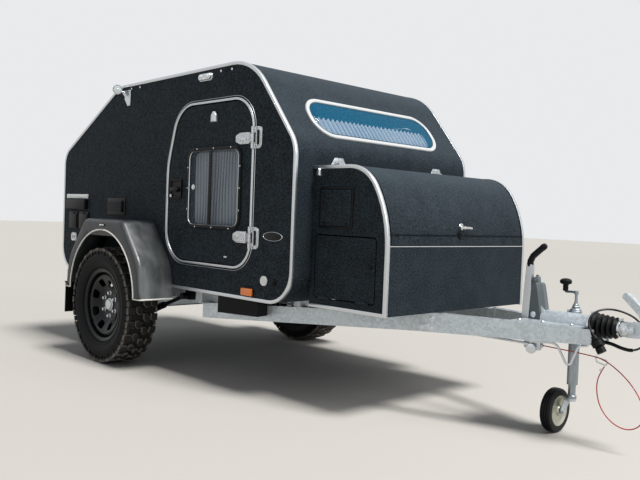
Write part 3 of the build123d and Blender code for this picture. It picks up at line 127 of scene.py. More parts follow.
room = bpy.data.worlds.new("pale room")
room.use_nodes = True
scene.world = room
tree = room.node_tree
tree.nodes.clear()
ray = add_node(tree, "ShaderNodeLightPath")
mirrored = add_node(tree, "ShaderNodeMath", {
    0: ray.outputs["Is Glossy Ray"], 1: ray.outputs["Is Transmission Ray"],
}, operation="MAXIMUM")
seen = add_node(tree, "ShaderNodeMath", {
    0: ray.outputs["Is Camera Ray"], 1: mirrored.outputs[0],
}, operation="MAXIMUM")
lit = add_node(tree, "ShaderNodeBackground", {"Color": colour("#dfe6ee"), "Strength": 0.26})
shown = add_node(tree, "ShaderNodeBackground", {"Color": colour("#e9eaec"), "Strength": 1.0})
both = add_node(tree, "ShaderNodeMixShader", {0: seen.outputs[0], 1: lit.outputs[0], 2: shown.outputs[0]})
add_node(tree, "ShaderNodeOutputWorld", {"Surface": both.outputs[0]})


def add_lamp(name, kind, place, aim, strength, tint):
    """A lamp of a kind at a place, turned towards another, with its strength and tint."""
    lamp = bpy.data.lights.new(name, kind)
    lamp.energy = strength
    lamp.color = tint
    holder = bpy.data.objects.new(name, lamp)
    holder.location = place
    holder.rotation_euler = (Vector(aim) - Vector(place)).to_track_quat("-Z", "Y").to_euler()
    scene.collection.objects.link(holder)
    return lamp


key = add_lamp("broad key", "SUN", (3.0, 0.2, 5.6), (0.0, 0.0, 0.0), 4.1, (1.0, 0.98, 0.95))
key.angle = radians(16.0)
front_box = add_lamp("front soft box", "AREA", (6.0, 1.0, 4.4), (0.3, 0.0, 0.6), 120.0, (1.0, 0.98, 0.95))
front_box.size = 2.6
door_box = add_lamp("door side soft box", "AREA", (0.6, -7.0, 3.0), (-0.2, 0.0, 0.8), 24.0, (0.93, 0.96, 1.0))
door_box.size = 4.0


# Light cable and breakaway cable
# The light cable is black rubber-sheathed, bows up over the bellows and is parked by its plug in a
# hoop at the right beam's end. The breakaway cable is wire rope in a red plastic sheath: it runs
# out under the overrun housing, hangs in a loop to near the ground, and is hooked to itself.
def spot(x, y, z):
    """A place in the frame, from millimetres measured from the axle, the middle and the ground."""
    return Vector((x / 1000 - 1.009, y / 1000, z / 1000))


def add_cord(name, route, diameter, finish):
    """A cord as one smooth spline whose control points are the route's."""
    line = bpy.data.curves.new(name, "CURVE")
    line.dimensions = "3D"
    line.bevel_depth = diameter / 2000
    line.bevel_resolution = 5
    line.resolution_u = 14
    line.use_fill_caps = True
    spline = line.splines.new("NURBS")
    spline.points.add(len(route) - 1)
    for point, place in zip(spline.points, route):
        point.co = (*spot(*place), 1.0)
    spline.order_u = 3
    spline.use_endpoint_u = True
    line.materials.append(finish)
    cord = bpy.data.objects.new(name, line)
    scene.collection.objects.link(cord)
    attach(cord, "root")
    return cord


def dent(shader, height, strength, distance):
    """Dents a shader's surface by a texture's height."""
    tree = shader.id_data
    bump = add_node(tree, "ShaderNodeBump", {"Strength": strength, "Distance": distance, "Height": height})
    tree.links.new(bump.outputs["Normal"], shader.inputs["Normal"])


# Extruded rubber sheath: near black, dull, with fine marks from the die
cable_rubber, shader = new_finish("extruded cable rubber", "#121416", 0.4)
dent(shader, noise(shader, 900.0, 2.0), 0.15, 0.0003)

# Clear-coated red PVC over wire rope: the strands show as fine slanting ridges
red_sheath, shader = new_finish("red sheathed wire rope", "#b3242b", 0.35, more={"Coat Weight": 0.3})
strands = add_node(shader.id_data, "ShaderNodeTexWave", {
    "Scale": 160.0, "Distortion": 0.5,
}, bands_direction="DIAGONAL")
dent(shader, strands.outputs["Fac"], 0.4, 0.0006)

electric_route = (
    (2722.0, 0.0, 446.0), (2760.0, 0.0, 446.0), (2808.0, 2.0, 430.0), (2852.0, 14.0, 424.0),
    (2884.0, 38.0, 444.0), (2888.0, 60.0, 484.0), (2866.0, 70.0, 528.0), (2830.0, 58.0, 562.0),
    (2794.0, 26.0, 582.0), (2760.0, -16.0, 592.0), (2729.0, -58.0, 586.0), (2708.0, -88.0, 560.0),
    (2706.0, -99.0, 524.0), (2724.0, -100.0, 494.0),
)
breakaway_route = (
    (2450.0, 0.0, 388.0), (2690.0, 0.0, 381.0), (2750.0, -4.0, 366.0), (2806.0, -10.0, 336.0),
    (2856.0, -18.0, 300.0), (2898.0, -26.0, 256.0), (2928.0, -34.0, 206.0), (2934.0, -41.0, 158.0),
    (2910.0, -46.0, 122.0), (2868.0, -48.0, 106.0), (2822.0, -48.0, 114.0), (2780.0, -46.0, 140.0),
    (2748.0, -42.0, 178.0), (2730.0, -36.0, 222.0), (2722.0, -28.0, 268.0), (2727.0, -16.0, 310.0),
    (2740.0, 0.0, 342.0),
)
electric_cable = add_cord("light_cable", electric_route, 9.0, cable_rubber)
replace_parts(electric_cable, "electric_cable")
breakaway_cable = add_cord("breakaway_line", breakaway_route, 5.0, red_sheath)
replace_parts(breakaway_cable, "breakaway_cable")


# Parked plug of the light cable
# A moulded plug of black glass-filled nylon with a ribbed grip, a screwed collar and a tapered
# rubber boot. It stands nose down in its ring.
def skin(rings, closed_path=False, open_ring=False, capped=True):
    """A mesh over a row of rings of points in millimetres."""
    shape = bmesh.new()
    rows = [[shape.verts.new(spot(*point)) for point in ring] for ring in rings]
    count = len(rows[0])
    pairs = list(zip(rows, rows[1:])) + ([(rows[-1], rows[0])] if closed_path else [])
    for first, second in pairs:
        for i in range(count - 1 if open_ring else count):
            j = (i + 1) % count
            shape.faces.new((first[i], first[j], second[j], second[i]))
    if capped and not closed_path and not open_ring:
        shape.faces.new(rows[0][::-1])
        shape.faces.new(rows[-1])
    bmesh.ops.recalc_face_normals(shape, faces=shape.faces)
    mesh = bpy.data.meshes.new("skin")
    shape.to_mesh(mesh)
    shape.free()
    return mesh


def turned(profile, start, towards, steps=32):
    """A turned solid: (radius, distance) pairs along the axis from start towards a point."""
    start = Vector(start)
    axis = (Vector(towards) - start).normalized()
    across = axis.orthogonal().normalized()
    over = axis.cross(across)
    rings = []
    for radius, along in profile:
        middle = start + axis * along
        angles = (2 * pi * i / steps for i in range(steps))
        rings.append([middle + radius * (cos(a) * across + sin(a) * over) for a in angles])
    return skin(rings)


def together(*meshes):
    """One mesh of several."""
    shape = bmesh.new()
    for mesh in meshes:
        shape.from_mesh(mesh)
        bpy.data.meshes.remove(mesh)
    joined = bpy.data.meshes.new("joined")
    shape.to_mesh(joined)
    shape.free()
    return joined


def round_edges(piece, width, sharp):
    """Rounds the edges of a piece that turn by more than an angle in degrees, by millimetres."""
    rounding = piece.modifiers.new("rounded edges", "BEVEL")
    rounding.width = width / 1000
    rounding.segments = 2
    rounding.limit_method = "ANGLE"
    rounding.angle_limit = radians(sharp)
    rounding.harden_normals = True


def add_piece(name, mesh, finish, body="root", edge=0.0, sharp=35.0):
    """Puts a mesh in the scene on its body, with its finish and, if asked, rounded edges in mm."""
    mesh.name = name
    mesh.materials.append(finish)
    mesh.shade_smooth()
    mesh.set_sharp_from_angle(angle=radians(sharp))
    piece = bpy.data.objects.new(name, mesh)
    scene.collection.objects.link(piece)
    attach(piece, body)
    if edge:
        round_edges(piece, edge, sharp)
    return piece


# Injection-moulded nylon: black with a soft sheen and a fine spark-eroded grain
black_nylon, shader = new_finish("moulded black nylon", "#06080a", 0.42, more={"Specular IOR Level": 0.16})
dent(shader, noise(shader, 1400.0, 2.0), 0.2, 0.0003)

plug_tip, plug_top = (2774.0, -100.0, 416.0), (2724.0, -100.0, 494.0)
grip = [(17.5 if i % 2 else 19.6, 22.0 + 2.2 * i) for i in range(16)]
plug_profile = [
    (0.1, 0.0), (18.6, 0.0), (19.8, 1.2), (19.8, 20.0), *grip, (19.8, 58.0), (19.8, 61.0), (18.6, 62.0),
    (14.0, 62.0), (13.8, 70.0), (12.6, 75.0), (8.0, 76.0), (7.4, 84.0), (6.4, 91.0), (5.0, 92.4),
]
plug = add_piece("parked_plug", turned(plug_profile, plug_tip, plug_top), black_nylon)
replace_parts(plug, "electric_plug")

# Snap hook of the breakaway cable
# Bent from 6 mm steel rod and zinc plated, with a spring gate and the crimped ferrule of the cable.
def spread(shader, value, low, high, start=0.0, end=1.0, into=None):
    """A value's range from start to end laid over low to high. It feeds the input that is named."""
    tree = shader.id_data
    ramp = add_node(tree, "ShaderNodeMapRange", {
        "Value": value, "From Min": start, "From Max": end, "To Min": low, "To Max": high,
    })
    if into:
        tree.links.new(ramp.outputs["Result"], shader.inputs[into])
    return ramp.outputs["Result"]


# Electroplated zinc: bright, blue-white, with a slightly milky sheen
zinc_plate, shader = new_finish("bright zinc plating", "#c9ced2", 0.28, 1.0)
spread(shader, noise(shader, 60.0, 3.0), 0.2, 0.38, into="Roughness")


def pipe(points, radius, steps=12, rounding=0.0):
    """A round bar through points in millimetres, its corners rounded by an arc's worth of points."""
    path = [Vector(points[0])]
    for before, corner, after in zip(points, points[1:], points[2:]):
        corner = Vector(corner)
        arm_in, arm_out = Vector(before) - corner, Vector(after) - corner
        reach = min(rounding, 0.45 * arm_in.length, 0.45 * arm_out.length)
        if not reach:
            path.append(corner)
            continue
        start, end = corner + arm_in.normalized() * reach, corner + arm_out.normalized() * reach
        for i in range(7):
            t = i / 6
            path.append((1 - t) ** 2 * start + 2 * t * (1 - t) * corner + t ** 2 * end)
    path.append(Vector(points[-1]))
    rings = []
    across = (path[1] - path[0]).orthogonal().normalized()
    for i, point in enumerate(path):
        ahead = path[min(i + 1, len(path) - 1)] - path[max(i - 1, 0)]
        ahead.normalize()
        across = (across - ahead * across.dot(ahead)).normalized()
        over = ahead.cross(across)
        angles = (2 * pi * k / steps for k in range(steps))
        rings.append([point + radius * (cos(a) * across + sin(a) * over) for a in angles])
    return skin(rings)


hook_x, hook_y, hook_z = 2696.0, 0.0, 380.0
hook_bow = [(0.0, 0.0), (14.0, -5.0), (58.0, -12.0), (52.0, -34.0), (10.0, -24.0), (2.0, -6.4)]
ferrule_profile = [(0.1, 0.0), (4.6, 0.0), (5.0, 1.5), (5.0, 9.0), (4.4, 11.0), (0.1, 11.0)]
rivet_profile = [(0.1, 0.0), (3.4, 0.0), (3.8, 1.0), (3.8, 5.0), (3.2, 6.0), (0.1, 6.0)]
hook_mesh = together(
    pipe([(hook_x + x, hook_y, hook_z + z) for x, z in hook_bow], 3.0, rounding=11.0),
    turned(ferrule_profile, (2726.0, -10.0, 322.0), (2733.0, -6.0, 331.0), 16),
    turned(rivet_profile, (2706.0, 3.0, 357.0), (2706.0, -3.0, 357.0), 16),
)
hook = add_piece("snap_hook", hook_mesh, zinc_plate)
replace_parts(hook, "breakaway_hook")

# Cabin panels
# Foam-cored sandwich boards under a sprayed polyurea coat, the kind used in pick-up beds: black,
# matt and pebbled. They are bonded at the edges, and the tailgate hangs at the roof's rear edge.
def coordinates(shader):
    """The texture coordinates beside a shader."""
    return add_node(shader.id_data, "ShaderNodeTexCoord").outputs


def reckon(shader, operation, first, second, clamped=False):
    """The sum or product of two values."""
    inputs = {0: first, 1: second}
    node = add_node(shader.id_data, "ShaderNodeMath", inputs, operation=operation, use_clamp=clamped)
    return node.outputs[0]


# Sprayed polyurea: the pebbles are 2 to 3 mm across and catch the light at a low angle. They lie in
# clusters of uneven tone with blotches of grey dust, and the faces that look up are lightened with painted
# light from above
polyurea, shader = new_finish("sprayed polyurea coat", "#25292e", 0.62, more={"Specular IOR Level": 0.06})
spray = coordinates(shader)
clusters = spread(shader, noise(shader, 150.0, 2.0, spray["Object"]), 0.0, 1.0, 0.36, 0.64)
blotch = noise(shader, 9.0, 5.0, spray["Object"], 0.65)
worn = spread(shader, blotch, 0.0, 0.22, 0.3, 0.75)
facing = add_node(shader.id_data, "ShaderNodeSeparateXYZ", {"Vector": spray["Normal"]}).outputs
# Painted light: the more a face looks up, the more it is blended towards the lit grey
painted_light_upward = spread(shader, facing["Z"], 0.0, 0.3, 0.15, 0.8)
pebbled = blend(shader, clusters, "#06090b", "#2d363d")
blend(shader, reckon(shader, "ADD", worn, painted_light_upward), pebbled, "#46515a", "Base Color")
dent(shader, noise(shader, 330.0, 3.0, spray["Object"], 0.6), 0.7, 0.002)
spread(shader, blotch, 0.52, 0.72, into="Roughness")


def finish_node(name, finish, edge=0.0):
    """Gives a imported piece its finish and, if asked, rounded edges in mm."""
    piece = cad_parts[name]
    piece.data.materials.clear()
    piece.data.materials.append(finish)
    if edge:
        merging = piece.modifiers.new("flat faces", "DECIMATE")
        merging.decimate_type = "DISSOLVE"
        merging.angle_limit = radians(0.5)
        round_edges(piece, edge, 35.0)
    return piece


for name in ("floor_panel", "front_wall", "roof_panel", "tailgate", "side_wall_right", "side_wall_left"):
    finish_node(name, polyurea)

# Kitchen and cross wall behind the tailgate
# Oiled birch plywood, cut and edge-sealed, with the plies running lengthwise.
def stretched(shader, scale):
    """Coordinates scaled unevenly, which draw a texture out along the small ones."""
    inputs = {"Vector": coordinates(shader)["Object"], "Scale": scale}
    return add_node(shader.id_data, "ShaderNodeMapping", inputs).outputs["Vector"]


plywood, shader = new_finish("oiled birch plywood", "#c8a877", 0.5)
blend(shader, noise(shader, 6.0, 7.0, stretched(shader, (9.0, 1.4, 9.0))), "#b18d5a", "#d9bd8f", "Base Color")
finish_node("galley", plywood, edge=1.0)

# Edging of the cabin and the locker
# Rolled aluminium angle, satin anodised, bonded over every outer edge of the side boards.
# Satin anodised aluminium: pale, soft reflections drawn out along the profile
anodised, shader = new_finish("satin anodised aluminium", "#cdd1d4", 0.34, 1.0)
spread(shader, noise(shader, 120.0, 3.0, coordinates(shader)["Object"]), 0.28, 0.42, into="Roughness")


def rounded(corners, turn=7.5):
    """An outline's points and outward directions, from (u, v, radius) corners of a convex shape."""
    outline = []
    count = len(corners)
    area = sum(corners[i][0] * corners[(i + 1) % count][1] - corners[(i + 1) % count][0] * corners[i][1]
               for i in range(count))
    for i, (u, v, radius) in enumerate(corners):
        corner = Vector((u, v))
        before = (Vector(corners[i - 1][:2]) - corner).normalized()
        after = (Vector(corners[(i + 1) % count][:2]) - corner).normalized()
        half = before.angle(after) / 2
        radius = max(radius, 0.6)
        centre = corner + (before + after).normalized() * radius / sin(half)
        start = Vector((before.y, -before.x)) if area < 0 else Vector((-before.y, before.x))
        sweep = pi - 2 * half
        pieces = max(2, ceil(sweep / radians(turn)))
        for k in range(pieces + 1):
            swing = sweep * k / pieces * (-1 if area < 0 else 1)
            c, s = cos(swing), sin(swing)
            out = Vector((start.x * c - start.y * s, start.x * s + start.y * c))
            outline.append((centre + out * radius, out))
    return outline


def ring_strip(outline, profile, lay):
    """A closed strip along an outline; its section is (offset outward, height) pairs."""
    return skin([[lay(point + out * offset, height) for offset, height in profile]
                 for point, out in outline], closed_path=True)


def stacked(outline, profile, lay):
    """A solid over an outline, from the (offset outward, height) pairs of its rings."""
    return skin([[lay(point + out * offset, height) for point, out in outline] for offset, height in profile])


def pad(outline, height, edge, lay, foot=0.0):
    """A solid with an outline's shape, height thick, with a rounded front edge."""
    profile = [(0.0, foot), (0.0, height - edge), (-0.3 * edge, height - 0.3 * edge), (-edge, height)]
    return stacked(outline, profile, lay)


def on_wall(side, face=690.0):
    """Lays (x, z) and a height on a cabin side, or on another face as far out as stated."""
    return lambda point, height: (point.x, side * (face + height), point.y)


cabin_corners = (
    (-935.0, 496.0, 170.0), (-935.0, 1307.0, 130.0), (-192.0, 1710.0, 200.0),
    (1145.0, 1727.0, 330.0), (1496.0, 1283.0, 180.0), (1496.0, 496.0, 165.0),
)
# The locker's front is upright up to a large arc, which runs on into the small one below its top
nose_x, arc_foot = 1989.0, 800.0
small_x, small_z, small_radius = 1738.0, 980.0, 200.0
across, rise = nose_x - small_x, small_z - arc_foot
large_radius = (across ** 2 + rise ** 2 - small_radius ** 2) / (2 * (across - small_radius))
large_x = nose_x - large_radius
meet = atan2(rise, small_x - large_x)
lower_turns = [meet * k / 6 for k in range(1, 7)]
upper_turns = [meet + (pi / 2 - meet) * k / 10 for k in range(1, 11)]
locker_corners = [
    (1496.3, 496.0), (nose_x, 496.0), (nose_x, arc_foot),
    *((large_x + large_radius * cos(turn), arc_foot + large_radius * sin(turn)) for turn in lower_turns),
    *((small_x + small_radius * cos(turn), small_z + small_radius * sin(turn)) for turn in upper_turns),
    (1496.3, 1180.0),
]


def open_outline(points):
    """The points of an open line with their outward directions, for a line drawn anticlockwise."""
    line = []
    for i, point in enumerate(points):
        ahead = Vector(points[min(i + 1, len(points) - 1)]) - Vector(points[max(i - 1, 0)])
        ahead.normalize()
        line.append((Vector(point), Vector((ahead.y, -ahead.x))))
    return line


# Section of the angle: out from the board's rim, then flat on its face, both edges rolled over
trim_section = (
    (0.4, -14.0), (2.6, -14.0), (3.3, -12.5), (3.3, 1.6), (2.4, 3.2), (0.6, 3.7), (-12.5, 3.3), (-14.0, 2.2),
    (-14.0, 0.4), (0.4, 0.4),
)
cheek_face = 568.0
locker_path = open_outline(locker_corners)
sharp_foot = [(p, Vector((1.0, -1.0)) if p == Vector((nose_x, 496.0)) else out) for p, out in locker_path]
for name, side in SIDES:
    ring = ring_strip(rounded(cabin_corners), trim_section, on_wall(side))
    cheek = skin([[(p.x + out.x * offset, side * (cheek_face + height), p.y + out.y * offset)
                   for offset, height in trim_section] for p, out in sharp_foot])
    trim = add_piece(f"edge_trim_{name}", together(ring, cheek), anodised, sharp=40.0)
    if side == RIGHT:
        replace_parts(trim, "edge_trims")

# Doors
# Each leaf is cut from the same coated board, and shuts against a pale double-lipped frame of
# satin aluminium that is screwed round the opening. Strap hinges sit outside, at the front edge.
door_corners = (
    (403.0, 654.0, 180.0), (403.0, 1200.0, 400.0), (500.0, 1530.0, 180.0),
    (1173.0, 1530.0, 160.0), (1173.0, 654.0, 140.0),
)
# Two rolled lips with a groove between them, and a thin water bead outside
frame_section = (
    (-4.0, 0.0), (-4.0, 4.5), (-2.8, 6.4), (0.6, 6.6), (1.8, 4.6), (3.2, 4.6), (4.4, 6.6), (7.6, 6.2),
    (9.0, 4.2), (9.0, 0.0),
)
bead_section = ((17.0, 0.0), (17.2, 2.0), (18.5, 3.0), (19.8, 2.0), (20.0, 0.0))
# Moulded rubber: near black and dull, with a faint bloom
black_rubber, shader = new_finish("moulded black rubber", "#07090b", 0.5, more={"Specular IOR Level": 0.2})
dent(shader, noise(shader, 700.0, 2.0), 0.2, 0.0004)
for name, side in SIDES:
    finish_node(f"door_leaf_{name}", polyurea, edge=2.0)
    outline = rounded(door_corners)
    lips = ring_strip(outline, frame_section, on_wall(side))
    door_frame = add_piece(f"door_frame_{name}", lips, anodised, sharp=50.0)
    if side == RIGHT:
        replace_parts(door_frame, "door_seals")
    bead = ring_strip(outline, bead_section, on_wall(side))
    add_piece(f"water_bead_{name}", bead, anodised, sharp=70.0)

# Door windows
# Grey acrylic in a black moulded frame that is screwed to the leaf, with a steel bead inside it, a
# lock button on the rear half, and pleated blackout cloth behind.
window_corners = ((600.0, 845.0, 62.0), (600.0, 1288.0, 62.0), (1085.0, 1288.0, 62.0), (1085.0, 845.0, 62.0))
moulding_section = (
    (0.0, 0.0), (0.0, 4.0), (-2.0, 7.4), (-6.0, 9.0), (-14.0, 9.4), (-18.0, 7.0), (-18.5, 3.2), (-18.5, 0.0),
)
steel_bead = ((-18.6, 3.2), (-18.4, 7.6), (-20.2, 9.2), (-22.0, 7.6), (-22.2, 3.2))
# Cast acrylic, grey tinted: darkens what lies behind and mirrors the sky. It is 3 mm thin, so it is
# drawn as a see-through skin that lets the light in onto the cloth
tinted_acrylic, _ = new_finish("grey tinted acrylic", "#12344b", 0.04, more={
    "Alpha": 0.24, "IOR": 1.49, "Coat Weight": 0.1, "Coat Roughness": 0.03,
})


def new_cloth(name, code, tones, fold_depth, fold_range, shadow, more=None):
    """Pleated cloth of two tones, faintly ribbed by the weave, with painted shade down in its folds."""
    cloth, shader = new_finish(name, code, 0.85, more=more)
    weave = noise(shader, 600.0, 2.0, coordinates(shader)["Object"])
    # Painted shade: ambient occlusion darkens the cloth towards the shadow colour down in its folds
    folds = add_node(shader.id_data, "ShaderNodeAmbientOcclusion", {"Distance": fold_depth}, samples=8)
    unshaded_share = spread(shader, folds.outputs["AO"], 0.0, 1.0, *fold_range)
    blend(shader, unshaded_share, shadow, blend(shader, weave, *tones), "Base Color")
    return cloth


# Pleated polyester: pale blue-grey, with a dark blue-grey painted shade in its folds
pleated_cloth = new_cloth("pleated polyester cloth", "#c4cbd3", ("#c3d2de", "#eaf1f6"), 0.016, (0.6, 0.88),
                          "#152536", {"Sheen Weight": 0.3})
# Polished stainless steel: bright and clear, with hairline marks
stainless, shader = new_finish("polished stainless steel", "#cfd2d4", 0.2, 1.0)
spread(shader, noise(shader, 180.0, 4.0), 0.14, 0.3, into="Roughness")


def boss(profile, u, v, lay, base=0.0, steps=32):
    """A turned solid that stands on a face, from (radius, height over its base) pairs."""
    return turned(profile, lay(Vector((u, v)), base), lay(Vector((u, v)), base + 20.0), steps)


def screw_heads(places, lay, radius=4.2):
    """Small domed screw heads on a face, from (u, v, height) places."""
    dome = [(radius, 0.0), (radius, 0.6), (0.75 * radius, 1.7), (0.2 * radius, 2.2)]
    return together(*(boss(dome, u, v, lay, height, 12) for u, v, height in places))


def plate_corners(x, z, width, height, radius):
    """The corners of an upright rounded rectangle round its middle."""
    return ((x - width / 2, z - height / 2, radius), (x - width / 2, z + height / 2, radius),
            (x + width / 2, z + height / 2, radius), (x + width / 2, z - height / 2, radius))


def flat_pad(x, z, width, height, radius, thick, edge, lay, foot=0.2):
    """A pad with an upright rounded rectangle's shape."""
    return pad(rounded(plate_corners(x, z, width, height, radius)), thick, edge, lay, foot)


def add_pleats(name, place, columns, rows, row, column, finish, body="root"):
    """A hung curtain with its pleats modelled, and its flat size along a row and down a column."""
    grid = [[place(i / columns, j / rows) for i in range(columns + 1)] for j in range(rows + 1)]
    cut_width = sum((Vector(b) - Vector(a)).length for a, b in zip(grid[row], grid[row][1:])) / 1000
    cut_height = sum((Vector(b[column]) - Vector(a[column])).length for a, b in zip(grid, grid[1:])) / 1000
    cloth = add_piece(name, skin(grid, open_ring=True), finish, body, sharp=180.0)
    return cloth, (cut_width, cut_height)


sleeve = ((-10.6, -28.0), (-10.6, 0.0), (-18.0, 0.0), (-18.0, -28.0))
screw_spots = [(x, z, 8.6) for x in (690.0, 842.0, 995.0) for z in (852.5, 1280.5)]
screw_spots += [(x, z, 8.6) for x in (607.5, 1077.5) for z in (950.0, 1066.0, 1180.0)]
for name, side in SIDES:
    body, lay = f"door_{name}", on_wall(side)
    outline = rounded(window_corners)
    lips = ring_strip(outline, moulding_section, lay)
    moulding = add_piece(f"window_moulding_{name}", lips, black_nylon, body, sharp=50.0)
    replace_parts(moulding, f"door_window_{name}")
    bead = ring_strip(outline, steel_bead, lay)
    add_piece(f"window_bead_{name}", bead, stainless, body, sharp=60.0)
    add_piece(f"window_sleeve_{name}", ring_strip(outline, sleeve, lay), black_nylon, body)
    bar = flat_pad(813.5, 1066.5, 27.0, 399.0, 2.0, 6.0, 1.5, lay, foot=3.0)
    add_piece(f"window_bar_{name}", bar, black_nylon, body)
    add_piece(f"window_screws_{name}", screw_heads(screw_spots, lay), stainless, body)
    button_dish = [(15.0, 0.0), (15.0, 3.0), (13.0, 4.4), (11.0, 3.6), (10.0, 2.2), (0.1, 2.2)]
    button = together(
        boss(button_dish, 660.0, 1072.0, lay, 3.0),
        flat_pad(660.0, 1072.0, 8.0, 24.0, 2.0, 9.0, 2.0, lay, foot=5.0),
    )
    add_piece(f"window_button_{name}", button, stainless, body)
    finish_node(f"door_pane_{name}", tinted_acrylic)

    def pleat(across_share, down_share, side=side):
        """A point of the curtain: two halves of nine pleats that fan out a little towards the foot."""
        x = 606.0 + 474.0 * across_share
        sway = 0.2 * sin(4.0 * down_share + 9.0 * across_share)
        wave = 0.5 + 0.5 * cos(2 * pi * (18.0 * across_share + sway))
        depth = 0.5 + (9.0 + 1.5 * down_share) * wave
        return (x, side * (648.5 + depth), 1283.0 - 433.0 * down_share)

    cloth, flat_size = add_pleats(f"door_curtain_cloth_{name}", pleat, 312, 16, 0, 0, pleated_cloth, body)
    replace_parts(cloth, f"door_curtain_{name}")

# Door hinges, locks and catches
# Cast stainless strap hinges with a tapered leaf on the door, held by five screws, and a slotted
# plate on the wall. The lock is a black nylon paddle in a tray; above the window sits the door's
# bell-shaped stay catch, and low down a small stop.
# Cast stainless, tumbled: bright but softly pitted
cast_steel, shader = new_finish("tumbled cast stainless", "#c3c8ca", 0.3, 1.0)
pits = noise(shader, 240.0, 4.0)
dent(shader, pits, 0.25, 0.0006)
spread(shader, pits, 0.2, 0.42, into="Roughness")
hammered = spread(shader, noise(shader, 130.0, 3.0), 0.0, 1.0, 0.42, 0.56)
blend(shader, hammered, "#5f676c", "#eef2f4", "Base Color")


def cylinder(start, end, radius, steps=24):
    """A round bar with slightly broken edges."""
    length = (Vector(end) - Vector(start)).length
    cut = min(0.6, 0.2 * radius, 0.2 * length)
    profile = [(radius - cut, 0.0), (radius, cut), (radius, length - cut), (radius - cut, length)]
    return turned(profile, start, end, steps)


def slab(x_range, y_range, z_range):
    """A square-edged block between three ranges."""
    (x0, x1), (y0, y1), (z0, z1) = (sorted(pair) for pair in (x_range, y_range, z_range))
    return skin([[(x0, y0, z), (x1, y0, z), (x1, y1, z), (x0, y1, z)] for z in (z0, z1)])


def about(middle, upper):
    """Corners mirrored over a line, from one half's (u, distance from the line, radius) corners."""
    lower = [(u, middle - rise, radius) for u, rise, radius in upper]
    return [lower[0], *((u, middle + rise, radius) for u, rise, radius in upper), *reversed(lower[1:])]


hinge_heights = (813.0, 1321.0)
pin_x, pin_out, pin_radius = 1182.0, 14.0, 9.0
# Sections, as (x, height) pairs: the leaf's arm over to the pin, the plate's webs, and its slot's lip
arm = [(1138.0, 6.6), (1142.0, 9.0), (1158.0, 11.8), (1171.0, 18.0), (1178.0, 21.4), (1186.0, 21.4),
       (1184.0, 5.6), (1174.0, 5.6), (1164.0, 6.6)]
web = [(pin_x, 3.0), (pin_x, 8.0), (1186.0, 12.0), (1196.0, 7.6), (1196.0, 2.0)]
frame_lip = [(0.0, 7.0), (0.0, 10.0), (-1.2, 11.0), (-3.6, 11.0), (-5.6, 7.0)]
tray_lip = [(0.0, 0.0), (0.0, 8.4), (-1.6, 10.0), (-9.0, 10.0), (-11.0, 8.0), (-12.5, 3.2), (-12.5, 0.0)]
for name, side in SIDES:
    lay, body = on_wall(side), f"door_{name}"
    leaves, fixed, dark = [], [], []
    for z in hinge_heights:
        leaf = about(z, ((1034.0, 16.0, 13.0), (1070.0, 30.0, 20.0), (1146.0, 30.0, 3.0)))
        rib = about(z, ((1052.0, 9.0, 8.0), (1128.0, 14.0, 6.0)))
        holes = [(1048.0, z), (1074.0, z + 20.0), (1074.0, z - 20.0), (1120.0, z + 21.0), (1120.0, z - 21.0)]
        leaves += [
            pad(rounded(leaf), 9.0, 2.2, lay),
            pad(rounded(rib), 11.6, 1.8, lay, foot=8.0),
            skin([[lay(Vector((x, end)), height) for x, height in arm] for end in (z - 23.6, z + 23.6)]),
            cylinder(*(lay(Vector((pin_x, end)), pin_out) for end in (z - 23.8, z + 23.8)), pin_radius),
            screw_heads([(u, v, 8.6) for u, v in holes], lay, 5.0),
        ]
        plate = about(z, ((1192.0, 56.0, 8.0), (1246.0, 56.0, 24.0)))
        slot = about(z, ((1202.0, 44.0, 8.0), (1236.0, 44.0, 16.0)))
        fixed += [pad(rounded(plate), 8.0, 2.4, lay), ring_strip(rounded(slot), frame_lip, lay)]
        for low, high in ((z - 56.0, z - 24.6), (z + 24.6, z + 56.0)):
            web_ends = (low + 1.0, high - 1.0)
            web_rings = [[lay(Vector((x, end)), height) for x, height in web] for end in web_ends]
            pin_ends = (lay(Vector((pin_x, end)), pin_out) for end in (low, high))
            fixed += [cylinder(*pin_ends, pin_radius), skin(web_rings)]
        fixed.append(screw_heads([(1219.0, z + 49.0, 7.4), (1219.0, z - 49.0, 7.4)], lay, 5.6))
        slot_floor = about(z, ((1208.6, 37.4, 3.0), (1229.4, 37.4, 10.0)))
        dark.append(pad(rounded(slot_floor), 8.6, 0.2, lay, foot=7.4))
    strap = add_piece(f"hinge_straps_{name}", together(*leaves), cast_steel, body)
    plates = add_piece(f"hinge_plates_{name}", together(*fixed), cast_steel)
    add_piece(f"hinge_slots_{name}", together(*dark), black_rubber)
    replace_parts(strap, f"door_hardware_{name}")
    if side == RIGHT:
        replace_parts(plates, "hinge_brackets")
    tray = rounded(plate_corners(487.0, 1062.0, 118.0, 108.0, 12.0))
    lock_tray = together(ring_strip(tray, tray_lip, lay), stacked(tray, [(-12.0, 0.0), (-12.0, 3.4)], lay))
    add_piece(f"lock_tray_{name}", lock_tray, black_nylon, body)
    paddle = ((446.0, 1046.0, 9.0), (446.0, 1070.0, 12.0), (516.0, 1072.0, 12.0), (530.0, 1058.0, 8.0),
              (516.0, 1044.0, 10.0))
    lever = pad(rounded(paddle), 24.0, 4.0, lay, foot=3.0)
    add_piece(f"lock_paddle_{name}", lever, black_nylon, body)
    bell = ((812.0, 1420.0, 3.0), (816.0, 1460.0, 18.0), (838.0, 1486.0, 12.0), (860.0, 1460.0, 18.0),
            (864.0, 1420.0, 3.0))
    catch_stud = [(9.0, 0.0), (9.0, 2.6), (8.0, 4.0), (4.0, 4.4), (3.8, 3.2), (0.1, 3.2)]
    catches = together(
        pad(rounded(bell), 15.0, 5.0, lay),
        flat_pad(975.0, 702.5, 26.0, 9.0, 4.0, 9.0, 3.0, lay, foot=0.0),
        boss(catch_stud, 444.0, 1022.0, lay, 9.0),
    )
    add_piece(f"stay_catches_{name}", catches, anodised, body)

